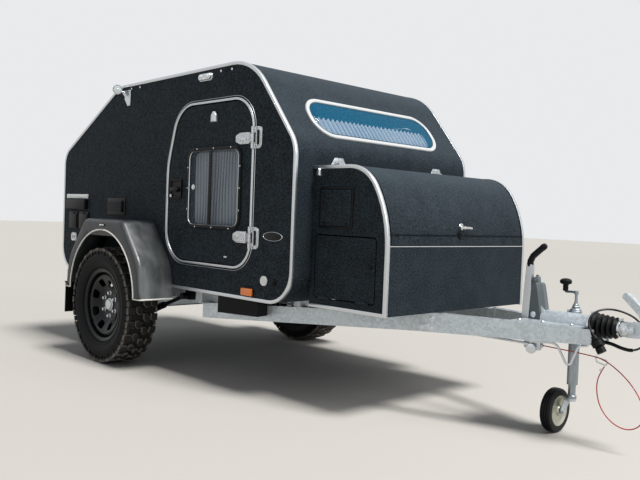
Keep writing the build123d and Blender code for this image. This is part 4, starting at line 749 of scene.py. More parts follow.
# Front window
# One wide acrylic pane, blue tinted and blown outward, in a white moulded frame. A white pleated
# curtain hangs inside its lower two thirds.
slope_foot, slope_top = Vector((1496.0, 0.0, 1283.0)), Vector((1145.0, 0.0, 1727.0))
slope_run = (slope_top - slope_foot).normalized()
slope_out = Vector((slope_run.z, 0.0, -slope_run.x))


def on_slope(point, height):
    """Lays (left, upward) and a height on the cabin's sloping front."""
    return slope_foot + Vector((0.0, point.x, 0.0)) + slope_run * point.y + slope_out * height


# Gloss white ABS, moulded: smooth and softly shining, greyed a little by the weather
white_abs, _ = new_finish("gloss white ABS moulding", "#c2c5c6", 0.3, more={"Coat Weight": 0.15})
# Blown acrylic, blue tinted: deep blue over the dark cabin, lighter over the cloth
blue_acrylic, _ = new_finish("blue tinted acrylic", "#0a7098", 0.04, more={
    "Alpha": 0.3, "IOR": 1.49, "Specular IOR Level": 0.25,
})
# White curtain cloth: painted shade, tinted deep blue by the pane, down in its folds
white_cloth = new_cloth("white pleated cloth", "#f0eef2", ("#e9e7ee", "#fdfcfe"), 0.02, (0.55, 0.85),
                        "#1d4467")

front_corners = ((-505.0, 62.0, 125.0), (-505.0, 332.0, 125.0), (505.0, 332.0, 125.0), (505.0, 62.0, 125.0))
front_moulding = (
    (0.0, 0.0), (0.0, 5.0), (-2.5, 8.6), (-7.0, 10.0),
    (-17.0, 10.0), (-22.0, 8.2), (-24.0, 4.0), (-24.0, 0.0),
)
outline = rounded(front_corners)
frame_mesh = ring_strip(outline, front_moulding, on_slope)
moulding = add_piece("front_moulding", frame_mesh, white_abs, sharp=50.0)
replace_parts(moulding, "front_window_frame")
gasket = ((-24.2, 2.0), (-24.2, 6.2), (-26.5, 7.6), (-29.0, 6.6), (-29.4, 2.0))
add_piece("front_gasket", ring_strip(outline, gasket, on_slope), black_rubber, sharp=60.0)
reveal = ((-18.4, -27.6), (-18.4, 0.0), (-24.0, 0.0), (-24.0, -27.6))
add_piece("front_reveal", ring_strip(outline, reveal, on_slope), black_nylon)
pane_rings = [(-24.2, 2.2), (-24.2, 6.8), (-29.0, 8.6), (-33.0, 12.2), (-40.0, 15.2), (-52.0, 16.0)]
pane = add_piece("front_pane", stacked(outline, pane_rings, on_slope), blue_acrylic, sharp=60.0)
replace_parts(pane, "front_window_pane")


def front_pleat(across_share, down_share):
    """A point of the front curtain, which hangs from a cord and fans out a little."""
    y = 478.0 - 956.0 * across_share
    wave = 0.5 + 0.5 * cos(2 * pi * (29.0 * across_share + 0.15 * sin(11.0 * across_share)))
    high = 232.0 + 9.0 * wave
    return on_slope(Vector((y, high - (high - 78.0) * down_share)), -46.0 + 15.0 * wave)


cloth, flat_size = add_pleats("front_curtain_cloth", front_pleat, 400, 10, 5, 200, white_cloth)
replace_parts(cloth, "front_curtain")

# Lid and tailgate hinges
# Cast stainless strap hinges, screwed: two on the locker lid and three on the tailgate at the roof's
# rear edge. Each fixed leaf carries two eyes and each strap a single one between them.
lid_top, front_face, roof_edge = 1180.0, 1496.0, 1710.5
lid_pin_x, lid_pin_z = 1520.0, 1197.0
hatch_x, hatch_z = -150.0, 1719.5
roof_rise, roof_run = 1727.0 - 1710.0, 1145.0 + 192.0
roof_slope = atan2(roof_rise, roof_run)


def on_lid(point, height):
    """Lays (x, y) and a height on the locker's flat top."""
    return Vector((point.x, point.y, lid_top + height))


def on_front(point, height):
    """Lays (y, z) and a height on the cabin's front face."""
    return Vector((front_face + height, point.x, point.y))


def on_roof(point, height):
    """Lays (distance ahead of the hatch axis, y) and a height on the roof's rear edge."""
    return Vector((hatch_x + point.x, point.y, roof_edge + point.x * sin(roof_slope) + height))


def eye(x, z, y, half, radius, x_range, z_range):
    """A hinge's eye round an axis across the trailer, and the block that joins it to its leaf."""
    ends = (y - half, y + half)
    return [cylinder((x, ends[0], z), (x, ends[1], z), radius), slab(x_range, ends, z_range)]


lid_straps, lid_plates, hatch_straps, hatch_plates = [], [], [], []
for y in (-400.0, 400.0):
    strap = about(y, ((1526.0, 24.0, 3.0), (1600.0, 24.0, 20.0), (1646.0, 10.0, 9.0)))
    holes = [(1545.0, y - 14.0), (1545.0, y + 14.0), (1590.0, y), (1628.0, y)]
    lid_straps += [
        pad(rounded(strap), 6.0, 1.6, on_lid, foot=0.2),
        *eye(lid_pin_x, lid_pin_z, y, 12.0, 8.5, (1515.0, 1530.0), (1183.0, 1194.0)),
        screw_heads([(u, v, 5.6) for u, v in holes], on_lid, 4.6),
    ]
    plate = ((y - 54.0, 1186.0, 3.0), (y - 50.0, 1200.0, 6.0), (y - 30.0, 1232.0, 10.0),
             (y + 30.0, 1232.0, 10.0), (y + 50.0, 1200.0, 6.0), (y + 54.0, 1186.0, 3.0))
    lid_plates += [
        pad(rounded(plate), 5.0, 1.4, on_front, foot=0.2),
        screw_heads([(y - 38.0, 1197.0, 4.6), (y + 38.0, 1197.0, 4.6), (y, 1222.0, 4.6)], on_front, 4.6),
    ]
    for shift in (-19.0, 19.0):
        lid_plates += eye(lid_pin_x, lid_pin_z, y + shift, 6.0, 8.5, (1500.0, lid_pin_x), (1191.0, 1203.0))
# The strap's line from its eye over the roof's edge, as (x, rise) pairs
bend = [(-7.0, -0.6), (-20.0, -1.6), (-36.0, -6.4), (-52.0, -14.0), (-82.0, -30.2)]
for y in (-450.0, 0.0, 450.0):
    root_z = (hatch_z - 6.4, hatch_z + 1.0)
    hatch_straps += eye(hatch_x, hatch_z, y, 14.3, 8.0, (hatch_x - 12.0, hatch_x), root_z)
    for near, far in zip(bend, bend[1:]):
        corners = [(near, 0.4), (near, 6.0), (far, 6.0), (far, 0.4)]
        section = [(hatch_x + across, roof_edge + rise + height) for (across, rise), height in corners]
        hatch_straps.append(skin([[(x, y + half, z) for x, z in section] for half in (-14.5, 14.5)]))
    plate = about(y, ((14.0, 28.0, 3.0), (60.0, 28.0, 9.0)))
    hatch_plates += [
        pad(rounded(plate), 5.0, 1.4, on_roof, foot=0.4),
        screw_heads([(44.0, y - 14.0, 4.6), (44.0, y + 14.0, 4.6)], on_roof, 4.6),
    ]
    for shift in (-21.5, 21.5):
        root_z = (hatch_z - 6.0, hatch_z + 1.5)
        hatch_plates += eye(hatch_x, hatch_z, y + shift, 6.2, 8.0, (hatch_x, hatch_x + 22.0), root_z)
strap = add_piece("lid_straps", together(*lid_straps), cast_steel, "locker_lid", edge=0.8)
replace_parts(strap, "lid_fittings")
add_piece("lid_hinge_plates", together(*lid_plates), cast_steel, edge=0.8)
add_piece("tailgate_hinge_plates", together(*hatch_plates), cast_steel, edge=0.8)
grab_half, grab_z = 56.0, 770.0
bow = ((-937.0, -grab_half), (-958.0, -grab_half), (-958.0, grab_half), (-937.0, grab_half))
grab = pipe([(x, y, grab_z) for x, y in bow], 7.5, 16, rounding=16.0)
feet = [cylinder((-935.4, y, grab_z), (-939.5, y, grab_z), 15.0) for y in (-grab_half, grab_half)]
strap = add_piece("tailgate_straps", together(*hatch_straps, grab, *feet), cast_steel, "tailgate")
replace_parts(strap, "tailgate_fittings")

# Plate, reflector and small parts between the door and the locker
# A blank oval plate in a thin polished rim, a round white reflector beside a black cable gland, and
# the dome-head screws that pull the side board to the roof.
# Satin black lacquer: an even low sheen
satin_black, shader = new_finish("satin black plate", "#090b0d", 0.3, more={"Specular IOR Level": 0.2})
spread(shader, noise(shader, 300.0, 2.0), 0.24, 0.38, into="Roughness")


def new_prism(name, code, roughness, scale, strength, depth, more):
    """A moulded lens or reflector with prism cells behind its smooth face."""
    prism, shader = new_finish(name, code, roughness, more=more)
    cells = add_node(shader.id_data, "ShaderNodeTexVoronoi", {"Scale": scale})
    dent(shader, cells.outputs["Distance"], strength, depth)
    return prism


# Moulded prism reflector, white: bright when lit, with fine cells
white_prism = new_prism("white prism reflector", "#e6e9ea", 0.16, 700.0, 0.4, 0.0006, {"Coat Weight": 0.6})
rim_lip = ((-2.4, 3.0), (-2.4, 4.6), (-1.0, 5.6), (0.6, 4.4), (0.8, 0.0), (-2.4, 0.0))
dish = [(25.0, 0.0), (25.0, 5.0), (23.5, 6.6), (21.4, 6.8), (20.6, 5.8), (0.1, 5.8)]
oval_half_length, oval_half_height = 72.0, 23.0
oval = []
for k in range(56):
    turn = -2 * pi * k / 56
    across, up_by = cos(turn), sin(turn)
    point = Vector((1350.0 + oval_half_length * across, 827.0 + oval_half_height * up_by))
    oval.append((point, Vector((oval_half_height * across, oval_half_length * up_by)).normalized()))
for name, side in SIDES:
    lay = on_wall(side)
    add_piece(f"oval_plate_{name}", pad(oval, 3.4, 0.8, lay), satin_black)
    add_piece(f"oval_rim_{name}", ring_strip(oval, rim_lip, lay), stainless, sharp=60.0)
    reflector = boss(dish, 1293.0, 603.0, lay, steps=40)
    add_piece(f"side_reflector_{name}", reflector, white_prism)
    gland = together(
        flat_pad(1370.0, 600.0, 36.0, 24.0, 6.0, 9.0, 2.0, lay, foot=0.0),
        boss([(8.0, 8.0), (8.0, 15.0), (6.4, 18.0), (0.1, 18.0)], 1370.0, 600.0, lay, steps=20),
    )
    add_piece(f"cable_gland_{name}", gland, black_nylon)
    places = [(876.0, 1691.0, 0.0), (972.0, 1691.0, 0.0), (-50.0, 1684.0, 0.0), (50.0, 1684.0, 0.0)]
    add_piece(f"roof_screws_{name}", screw_heads(places, lay, 7.0), stainless)

# Front locker
# Coated board cheeks and floor with one bent lid over the top and down the front, which shuts on the
# front board's pale cap. A T handle with its round rose locks the lid, a covered keyhole beside it.
for name in ("locker_shell", "locker_lid", "locker_flap"):
    finish_node(name, polyurea, edge=1.6)
rose_profile = [(22.0, 0.0), (22.0, 9.0), (20.0, 11.0), (13.0, 12.5), (12.0, 16.0), (0.1, 16.0)]
grip_bar = [(2003.0, -48.0, 903.0), (2006.0, -30.0, 905.0), (2006.0, 30.0, 905.0), (2003.0, 48.0, 903.0)]
handle = together(
    turned(rose_profile, (1966.0, 0.0, 905.0), (2010.0, 0.0, 905.0), 40),
    cylinder((1975.0, 0.0, 905.0), (2000.0, 0.0, 905.0), 9.0),
    pipe(grip_bar, 6.8, 16, rounding=14.0),
)
add_piece("lid_handle", handle, stainless, "locker_lid")
cover_base, cover_tip = (1978.0, -20.0, 868.0), (2002.0, -20.0, 870.0)
cover_profile = [(20.0, 0.0), (20.0, 11.0), (18.6, 13.0), (15.0, 13.8), (0.1, 14.2)]
cover = together(
    turned(cover_profile, cover_base, cover_tip, 36),
    turned([(6.0, 0.0), (6.0, 17.0), (5.0, 18.0), (0.1, 18.0)], cover_base, cover_tip, 16),
)
add_piece("lid_keyhole", cover, black_nylon, "locker_lid")
# A thin near-black strip across the lid's front: a painted shadow line below its bend
painted_shadow_line = slab((1986.0, 1990.0), (-556.0, 556.0), (867.0, 868.8))
add_piece("lid_shadow_strip", painted_shadow_line, black_nylon, "locker_lid")
board_cap = slab((1984.0, 1991.6), (-559.0, 559.0), (810.4, 815.2))
add_piece("front_board_cap", board_cap, anodised, edge=0.8)


def on_cheek(point, height):
    """Lays (x, z) and a height on the locker's right cheek."""
    return Vector((point.x, -cheek_face - height, point.y))


hatch_middle = (1660.0, 978.0)
hatch_lip = ((0.0, 0.0), (0.0, 3.6), (-1.8, 5.0), (-9.0, 5.0), (-11.5, 3.2), (-11.5, 0.0))
hatch_leaf = flat_pad(*hatch_middle, 198.0, 170.0, 9.0, 7.0, 2.2, on_cheek)
add_piece("service_hatch_leaf", hatch_leaf, polyurea)
hatch_knob = [(9.0, 0.0), (9.0, 9.6), (8.0, 10.8), (0.1, 10.8)]
hatch_ring = rounded(plate_corners(*hatch_middle, 224.0, 196.0, 14.0))
hatch = together(
    ring_strip(hatch_ring, hatch_lip, on_cheek),
    *(boss(hatch_knob, x, 905.0, on_cheek, steps=20) for x in (1590.0, 1730.0)),
)
add_piece("service_hatch", hatch, black_nylon)
bell = ((1523.0, 1130.0, 3.0), (1527.0, 1158.0, 12.0), (1539.0, 1176.0, 8.0), (1551.0, 1158.0, 12.0),
        (1555.0, 1130.0, 3.0))
add_piece("locker_bell_catch", pad(rounded(bell), 13.0, 4.5, on_cheek, foot=0.2), anodised)
latch = flat_pad(1885.0, 712.0, 34.0, 16.0, 7.9, 7.0, 2.0, on_cheek)
add_piece("flap_latch", latch, black_nylon, "locker_flap")

# Lamp, vents and boxes on the right side wall
# Behind the mudguard sit an awning lamp with an opal lens, a black lamp housing, two lidded supply
# boxes and a white-rimmed inlet, and over the mudguard a louvred vent. All are screwed or clipped on.
# Opal polycarbonate: white, softly glossy, lets a little light into its depth
opal_lens, _ = new_finish("opal polycarbonate", "#f2f4f3", 0.22, more={
    "Subsurface Weight": 0.25, "Coat Weight": 0.4,
})
lay = on_wall(RIGHT)
opal_bar = flat_pad(-724.0, 1010.0, 296.0, 30.0, 6.0, 12.0, 3.5, lay)
add_piece("side_lamp_lens", opal_bar, opal_lens)
housing = [flat_pad(-716.0, 957.0, 276.0, 66.0, 6.0, 28.0, 3.0, lay)]
for k in range(6):
    rib = plate_corners(-577.4, 935.0 + 9.0 * k, 3.6, 5.0, 1.0)
    housing.append(pad(rounded(rib), 26.0, 0.6, lay, foot=2.0))
for x, width in ((-764.0, 124.0), (-618.0, 132.0)):
    housing.append(flat_pad(x, 847.0, width, 118.0, 8.0, 12.0, 2.0, lay))
    housing.append(flat_pad(x, 843.0, width - 18.0, 98.0, 6.0, 17.0, 2.4, lay, foot=10.0))
    housing.append(flat_pad(x, 897.0, 34.0, 9.0, 3.0, 19.0, 2.0, lay, foot=10.0))
housing.append(flat_pad(-188.0, 951.0, 222.0, 106.0, 8.0, 6.0, 1.6, lay))
housing.append(flat_pad(-192.0, 951.0, 178.0, 74.0, 4.0, 15.0, 1.4, lay, foot=5.0))
for k in range(5):
    z = 922.0 + 13.5 * k
    slat = [(z - 3.4, 14.0), (z - 4.6, 21.0), (z + 1.0, 20.0), (z + 4.6, 14.0)]
    housing.append(skin([[lay(Vector((x, sz)), h) for sz, h in slat] for x in (-279.0, -105.0)]))
boxes = add_piece("side_boxes", together(*housing), black_nylon, sharp=30.0)
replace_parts(boxes, "side_vents")
inlet_lip = [(0.0, 0.2), (0.0, 6.0), (-2.5, 9.5), (-9.0, 11.5), (-14.0, 10.0), (-15.0, 0.2)]
inlet = together(
    ring_strip(rounded(plate_corners(-762.0, 732.0, 74.0, 58.0, 20.0)), inlet_lip, lay),
    flat_pad(-762.0, 732.0, 48.0, 32.0, 10.0, 6.0, 1.5, lay),
)
add_piece("side_inlet", inlet, opal_lens, sharp=50.0)
slot_pads = [flat_pad(-762.0 + shift, 732.0, 9.0, 17.0, 3.0, 6.5, 0.3, lay, foot=5.0)
             for shift in (-11.0, 11.0)]
add_piece("side_inlet_slots", together(*slot_pads), black_rubber)

# Lamps under the roof edge and at the rear shoulder
# A two-lens lamp in a pale housing over each door, and a round spot lamp on a flat steel bracket at
# each rear shoulder. An amber marker lamp sits low on each side, behind the cabin's front corner.
bowl_profile = [(7.0, 0.0), (18.0, 4.0), (27.0, 14.0), (28.5, 20.0), (28.5, 36.0), (30.5, 37.0), (30.5, 42.0),
                (29.0, 43.0), (25.6, 43.0), (25.0, 38.0)]
glass_profile = [(25.2, 38.5), (23.0, 41.6), (15.0, 43.6), (9.0, 42.4), (7.0, 44.6), (0.1, 45.4)]
for name, side in SIDES:
    lay = on_wall(side)
    body = [
        flat_pad(750.0, 1670.0, 121.0, 42.0, 18.0, 10.0, 2.5, lay),
        flat_pad(750.0, 1670.0, 108.0, 34.0, 15.0, 22.0, 4.0, lay, foot=8.0),
    ]
    lamp = add_piece(f"roof_lamp_{name}", together(*body), anodised)
    arm = ((-56.0, 1580.0, 6.0), (-92.0, 1580.0, 6.0), (-98.0, 1636.0, 14.0), (-156.0, 1664.0, 6.0),
           (-154.0, 1678.0, 6.0), (-54.0, 1678.0, 6.0))
    back, face_on = Vector((-166.0, side * 712.0, 1690.0)), Vector((0.72, side * 0.66, -0.22))
    lead = [lay(Vector((-140.0, 1670.0)), 2.0), lay(Vector((-146.0, 1671.0)), 16.0), back + 6.0 * face_on]
    spot_lamp = [
        pad(rounded(arm), 4.0, 1.0, lay, foot=0.2),
        pipe(lead, 4.5, 12, rounding=8.0),
        turned(bowl_profile, back, back + face_on, 36),
        screw_heads([(-72.0, 1592.0, 3.4), (-72.0, 1662.0, 3.4), (-112.0, 1666.0, 3.4)], lay, 5.0),
    ]
    add_piece(f"spot_lamp_{name}", together(*spot_lamp), zinc_plate)
    glass = turned(glass_profile, back, back + face_on, 36)
    add_piece(f"spot_lamp_lens_{name}", glass, opal_lens)
    if side == RIGHT:
        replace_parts(lamp, "roof_lamps")
    dome = [(12.0, 0.0), (12.0, 2.4), (10.0, 4.2), (5.0, 5.4), (0.1, 5.8)]
    lenses = [boss(dome, x, 1670.0, lay, 20.6, 28) for x in (721.0, 779.0)]
    add_piece(f"roof_lamp_lenses_{name}", together(*lenses), opal_lens)
# Moulded amber acrylic over a bright bowl: deep colour, with prism cells behind a smooth face
glossy_coat = {"Coat Weight": 0.8, "Coat Roughness": 0.05}
amber_lens = new_prism("moulded amber acrylic", "#f07a08", 0.14, 260.0, 0.35, 0.0008, glossy_coat)
for name, side in SIDES:
    lay = on_wall(side)
    outline = rounded(plate_corners(1169.0, 536.0, 84.0, 38.0, 6.0))
    lens = add_piece(f"amber_lens_{name}", pad(outline, 18.0, 4.5, lay, foot=4.0), amber_lens)
    base = flat_pad(1169.0, 536.0, 92.0, 46.0, 8.0, 6.0, 1.5, lay)
    add_piece(f"amber_base_{name}", base, black_nylon)
    if side == RIGHT:
        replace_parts(lens, "amber_lamps")

# Wheels
# Black enamelled steel disc wheels with eight windows, six plated cone nuts and a pale hub cap, and
# mud tyres with two rows of blocks on each side of the middle and ribs down the sidewalls.
axle_height, tyre_radius, wheel_middle = 350.0, 350.0, 798.0
# Tyre rubber: near black on the sidewalls, dry and grey with dust on the blocks' open faces, paler
# along their edges from scuffs and a painted highlight, and painted shade black in the grooves between them
tyre_rubber, shader = new_finish("mud tyre rubber", "#0d0e0f", 0.6, more={"Specular IOR Level": 0.14})
tree, place = shader.id_data, coordinates(shader)["Object"]
about_axle = add_node(tree, "ShaderNodeVectorMath", {
    0: place, 1: tuple(spot(0.0, 0.0, axle_height)),
}, operation="SUBTRACT")
side_on = add_node(tree, "ShaderNodeVectorMath", {
    0: about_axle.outputs[0], 1: (1.0, 0.0, 1.0),
}, operation="MULTIPLY")
reach = add_node(tree, "ShaderNodeVectorMath", {0: side_on.outputs[0]}, operation="LENGTH")
tread = spread(shader, reach.outputs["Value"], 0.0, 1.0, 0.322, 0.343)
# Painted shade: ambient occlusion keeps the grooves black and lets dust settle only on open faces
groove_shade_ao = add_node(tree, "ShaderNodeAmbientOcclusion", {"Distance": 0.03}, samples=6)
unshaded_faces = spread(shader, groove_shade_ao.outputs["AO"], 0.0, 1.3, 0.6, 0.95)
dust_out_of_shade = reckon(shader, "MULTIPLY", unshaded_faces, noise(shader, 40.0, 6.0, place))
dust_and_painted_shade = blend(shader, reckon(shader, "MULTIPLY", dust_out_of_shade, tread, clamped=True), "#07090b", "#353432")
# Pale block edges: scuffs and a painted highlight, laid on by the mesh's pointiness
corners = add_node(tree, "ShaderNodeNewGeometry").outputs["Pointiness"]
scuff_and_painted_highlight = reckon(shader, "MULTIPLY", spread(shader, corners, 0.0, 0.75, 0.525, 0.59), tread)
blend(shader, scuff_and_painted_highlight, dust_and_painted_shade, "#a09a92", "Base Color")
dent(shader, noise(shader, 420.0, 3.0, place), 0.2, 0.0005)
# Baked enamel over steel: deep black gloss with a faint orange-peel skin
wheel_enamel, shader = new_finish("black wheel enamel", "#0b0f12", 0.3, more={
    "Specular IOR Level": 0.18, "Coat Weight": 0.1, "Coat Roughness": 0.12,
})
dent(shader, noise(shader, 160.0, 2.0), 0.08, 0.0006)

block_count, stud_circle = 26, 69.85
pitch = 2 * pi / block_count
carcass_half = [
    (203.0, 71.8), (218.0, 72.0), (222.5, 73.4), (226.0, 81.0), (229.5, 86.6), (234.0, 88.6), (236.0, 91.6),
    (240.0, 91.8), (242.0, 89.8), (252.0, 93.6), (262.0, 96.6), (281.0, 99.4), (283.0, 97.4), (287.0, 97.2),
    (289.0, 99.0),
    (300.0, 97.4), (312.0, 94.6), (324.0, 89.6), (332.0, 84.0), (336.5, 77.0), (337.0, 60.0), (337.5, 30.0),
]
tread_blocks = (
    ((-24.0, 5.0), (8.0, 5.0), (26.0, 21.0), (22.0, 43.0), (-4.0, 45.0), (-22.0, 30.0)),
    ((-22.0, 55.0), (16.0, 53.0), (22.0, 70.0), (20.0, 98.5), (-19.0, 98.5), (-17.0, 74.0)),
)


def wheel_point(side, radius, outward, angle):
    """A point of a wheel: radius and angle about its axis, and its distance out from the middle."""
    return Vector((radius * cos(angle), side * (wheel_middle + outward), axle_height + radius * sin(angle)))


def wheel_ring(side, profile, steps):
    """A closed section of (radius, outward) pairs swept once round the wheel's axis."""
    return skin([[wheel_point(side, r, y, 2 * pi * i / steps) for r, y in profile] for i in range(steps)],
                closed_path=True)


def tread_block(side, shape, turn, mirrored):
    """One block: (millimetres round the tread, outward) corners, with a buried foot and a worn top."""
    sign = -1.0 if mirrored else 1.0
    middle_t = sum(t for t, y in shape) / len(shape)
    middle_y = sum(y for t, y in shape) / len(shape)
    rings = []
    for share, depth in ((1.06, -18.0), (1.0, -1.6), (0.95, 0.0), (0.72, 0.2)):
        ring = []
        for t, y in shape:
            t_now = middle_t + (t - middle_t) * share
            y_now = min(middle_y + (y - middle_y) * share, 99.6)
            crown = tyre_radius - 5.0 * (y_now / 100.0) ** 3
            ring.append(wheel_point(side, crown + depth, sign * y_now, turn + sign * t_now / tyre_radius))
        rings.append(ring)
    return skin(rings)


def side_biter(side, turn, outward_sign, low):
    """A rib on the tyre's shoulder, from the block down the sidewall."""
    rings = []
    sizes = ((low, 95.4, 8.0), (low + 3.0, 99.4, 10.0), (326.0, 99.0, 15.0), (341.0, 97.0, 17.0))
    for radius, out, half in sizes:
        inner = 88.0 if radius > 320.0 else 93.0
        ring = [wheel_point(side, radius, outward_sign * y, turn + t / radius)
                for t, y in ((-half, inner), (-half + 2.0, out), (half - 2.0, out), (half, inner))]
        rings.append(ring)
    return skin(rings)


disc_profile = ((30.0, 24.0), (86.0, 24.0), (95.0, 26.0), (104.0, 31.0), (118.0, 40.0), (150.0, 57.0),
                (171.0, 63.0))


def disc_height(radius):
    """How far the disc's outer face lies out from the wheel's middle."""
    for (r0, y0), (r1, y1) in zip(disc_profile, disc_profile[1:]):
        if radius <= r1:
            return y0 + (y1 - y0) * (radius - r0) / (r1 - r0)
    return disc_profile[-1][1]


def wheel_disc(side):
    """The pressed disc with its eight windows, as one sheet."""
    shape = bmesh.new()
    inner, outer, sector, steps = 104.0, 171.0, pi / 4, 96

    def vertex(radius, outward, angle):
        return shape.verts.new(spot(*wheel_point(side, radius, outward, angle)))

    def ring(radius, outward):
        return [vertex(radius, outward, sector / 12 * k) for k in range(steps)]

    # Each window's surround, in four loops from the sector's border in to the window's turned edge
    ticks = [-1.0 + k / 6 for k in range(13)]
    border = [(u, 1.0) for u in ticks] + [(1.0, -v) for v in ticks[1:-1]]
    border += [(-u, -1.0) for u in ticks] + [(-1.0, v) for v in ticks[1:-1]]
    for number in range(8):
        middle = sector * (number + 0.5)
        loops = []
        for share, sunk in ((0.0, 0.0), (0.55, 0.0), (1.0, 0.0), (1.0, 4.5)):
            loop = []
            for u, v in border:
                scale = (u ** 4 + v ** 4) ** -0.25
                edge_r = (inner + outer) / 2 + v * (outer - inner) / 2
                hole_r = 137.5 + scale * v * 21.5
                radius = edge_r + (hole_r - edge_r) * share
                angle = middle + sector / 2 * u * (1 - share) + radians(11.5) * scale * u * share
                loop.append(vertex(radius, disc_height(radius) - sunk, angle))
            loops.append(loop)
        for first, second in zip(loops, loops[1:]):
            for i in range(len(border)):
                j = (i + 1) % len(border)
                shape.faces.new((first[i], first[j], second[j], second[i]))
    rings = [ring(radius, disc_height(radius)) for radius in (30.0, 60.0, 86.0, 95.0, inner)]
    rings += [ring(*place) for place in ((177.0, 63.0), (184.0, 58.0), (191.0, 49.0), (197.4, 44.0))]
    window_rim = ring(outer, disc_height(outer))
    for first, second in [*zip(rings[:4], rings[1:5]), (window_rim, rings[5]), *zip(rings[5:], rings[6:])]:
        for i in range(steps):
            j = (i + 1) % steps
            shape.faces.new((first[i], first[j], second[j], second[i]))
    bmesh.ops.remove_doubles(shape, verts=shape.verts, dist=0.00005)
    bmesh.ops.recalc_face_normals(shape, faces=shape.faces)
    mesh = bpy.data.meshes.new("disc")
    shape.to_mesh(mesh)
    shape.free()
    return mesh


def thicken(sheet, thickness):
    """Gives a sheet of steel its thickness in metres, inward."""
    steel = sheet.modifiers.new("sheet steel", "SOLIDIFY")
    steel.thickness = thickness
    steel.offset = -1.0


rim_section = [
    (220.4, 78.0), (221.0, 75.6), (219.4, 73.4), (213.0, 72.2), (204.8, 71.6), (203.0, 69.0), (202.8, 50.0),
    (178.0, 12.0), (178.0, -30.0), (202.8, -48.0), (203.0, -69.0), (204.8, -71.6), (213.0, -72.2),
    (219.4, -73.4), (221.0, -75.6), (220.4, -78.0), (216.0, -79.0), (206.5, -75.8), (199.6, -71.0),
    (198.0, -50.0), (173.5, -32.0), (173.5, 10.0), (198.0, 50.0), (199.6, 71.0), (206.5, 75.8), (216.0, 79.0),
]
drum_profile = [(0.1, -50.0), (116.0, -50.0), (118.0, -48.0), (118.0, -20.0), (112.0, -12.0),
                (60.0, -3.0), (0.1, -3.0)]
cap_profile = [(38.0, 23.0), (38.0, 28.0), (35.0, 30.0), (32.0, 31.0), (31.4, 37.0), (29.0, 40.0),
               (22.0, 41.0), (0.1, 41.2)]
nut_seat = [(13.5, 0.0), (13.5, 2.0), (11.0, 4.0)]
nut_profile = [(11.0, 3.0), (11.0, 14.0), (9.6, 17.0), (5.0, 18.6), (0.1, 19.0)]
valve_profile = [(7.0, 0.0), (7.0, 5.0), (4.2, 9.0), (4.0, 30.0), (4.8, 31.0), (4.8, 38.0), (3.8, 39.6),
                 (0.1, 39.6)]
valve_angle = -2.51
section = carcass_half + [(r, -y) for r, y in reversed(carcass_half)]
for name, side in SIDES:
    body = f"wheel_{name}"
    pieces = [wheel_ring(side, section, 8 * block_count)]
    for number in range(block_count):
        for mirrored in (False, True):
            turn = pitch * (number + (0.5 if mirrored else 0.0))
            sign = -1.0 if mirrored else 1.0
            pieces += [tread_block(side, shape, turn, mirrored) for shape in tread_blocks]
            pieces.append(side_biter(side, turn, sign, 302.0))
            pieces.append(side_biter(side, turn + 0.5 * pitch, sign, 316.0))
    tread = together(*pieces)
    tyre = add_piece(f"mud_tyre_{name}", tread, tyre_rubber, body, edge=0.8, sharp=40.0)
    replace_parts(tyre, f"tyre_{name}")
    rim_ring = wheel_ring(side, rim_section, 128)
    barrel = add_piece(f"wheel_barrel_{name}", rim_ring, wheel_enamel, body)
    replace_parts(barrel, f"rim_{name}")
    disc = add_piece(f"wheel_disc_{name}", wheel_disc(side), wheel_enamel, body, sharp=50.0)
    thicken(disc, 0.005)
    middle, outside = (0.0, side * wheel_middle, axle_height), (0.0, side * 900.0, axle_height)
    drum = turned(drum_profile, middle, outside, 64)
    add_piece(f"brake_drum_{name}", drum, satin_black, body)
    nuts = []
    for number in range(6):
        base, tip = (wheel_point(side, stud_circle, y, pi / 3 * number + pi / 6) for y in (24.0, 90.0))
        nuts += [turned(nut_seat, base, tip, 24), turned(nut_profile, base, tip, 6)]
    add_piece(f"wheel_nuts_{name}", together(*nuts), zinc_plate, body)
    add_piece(f"hub_cap_{name}", turned(cap_profile, middle, outside, 48), anodised, body)
    base, tip = wheel_point(side, 190.0, 42.0, valve_angle), wheel_point(side, 183.0, 82.0, valve_angle)
    add_piece(f"wheel_valve_{name}", turned(valve_profile, base, tip, 16), black_rubber, body)

# Mudguards
# Pressed steel, sprayed with the smoother satin black coat, with a broad rolled shoulder, a pale
# plastic bead clipped round the arch and under the legs, a small white lamp and a rubber flap.
# Sprayed coat: satin black with a fine grain, and grey dust scoured down the faces that lead, which are also
# lightened with painted light from ahead
guard_coat, shader = new_finish("satin black body coat", "#262b2f", 0.38)
fine = coordinates(shader)
dent(shader, noise(shader, 320.0, 2.0, fine["Object"]), 0.45, 0.0012)
streak = noise(shader, 7.0, 6.0, stretched(shader, (2.2, 2.2, 0.5)))
spread(shader, streak, 0.3, 0.5, 0.35, 0.7, into="Roughness")
facing = add_node(shader.id_data, "ShaderNodeSeparateXYZ", {"Vector": fine["Normal"]}).outputs
# Painted light: faces turned forward are lightened, together with the dust streaks on them
painted_light_leading = spread(shader, facing["X"], 0.05, 1.0, 0.3, 0.85)
dust_and_painted_light = reckon(shader, "MULTIPLY", spread(shader, streak, 0.25, 0.6, 0.38, 0.66), painted_light_leading)
blend(shader, dust_and_painted_light, "#181d21", "#878c8d", "Base Color")
# Pale extruded PVC bead: cream white, satin
pale_bead, shader = new_finish("pale PVC edge bead", "#e4e4e0", 0.4)
blend(shader, noise(shader, 30.0, 4.0), "#d3d2cc", "#eeeeea", "Base Color")

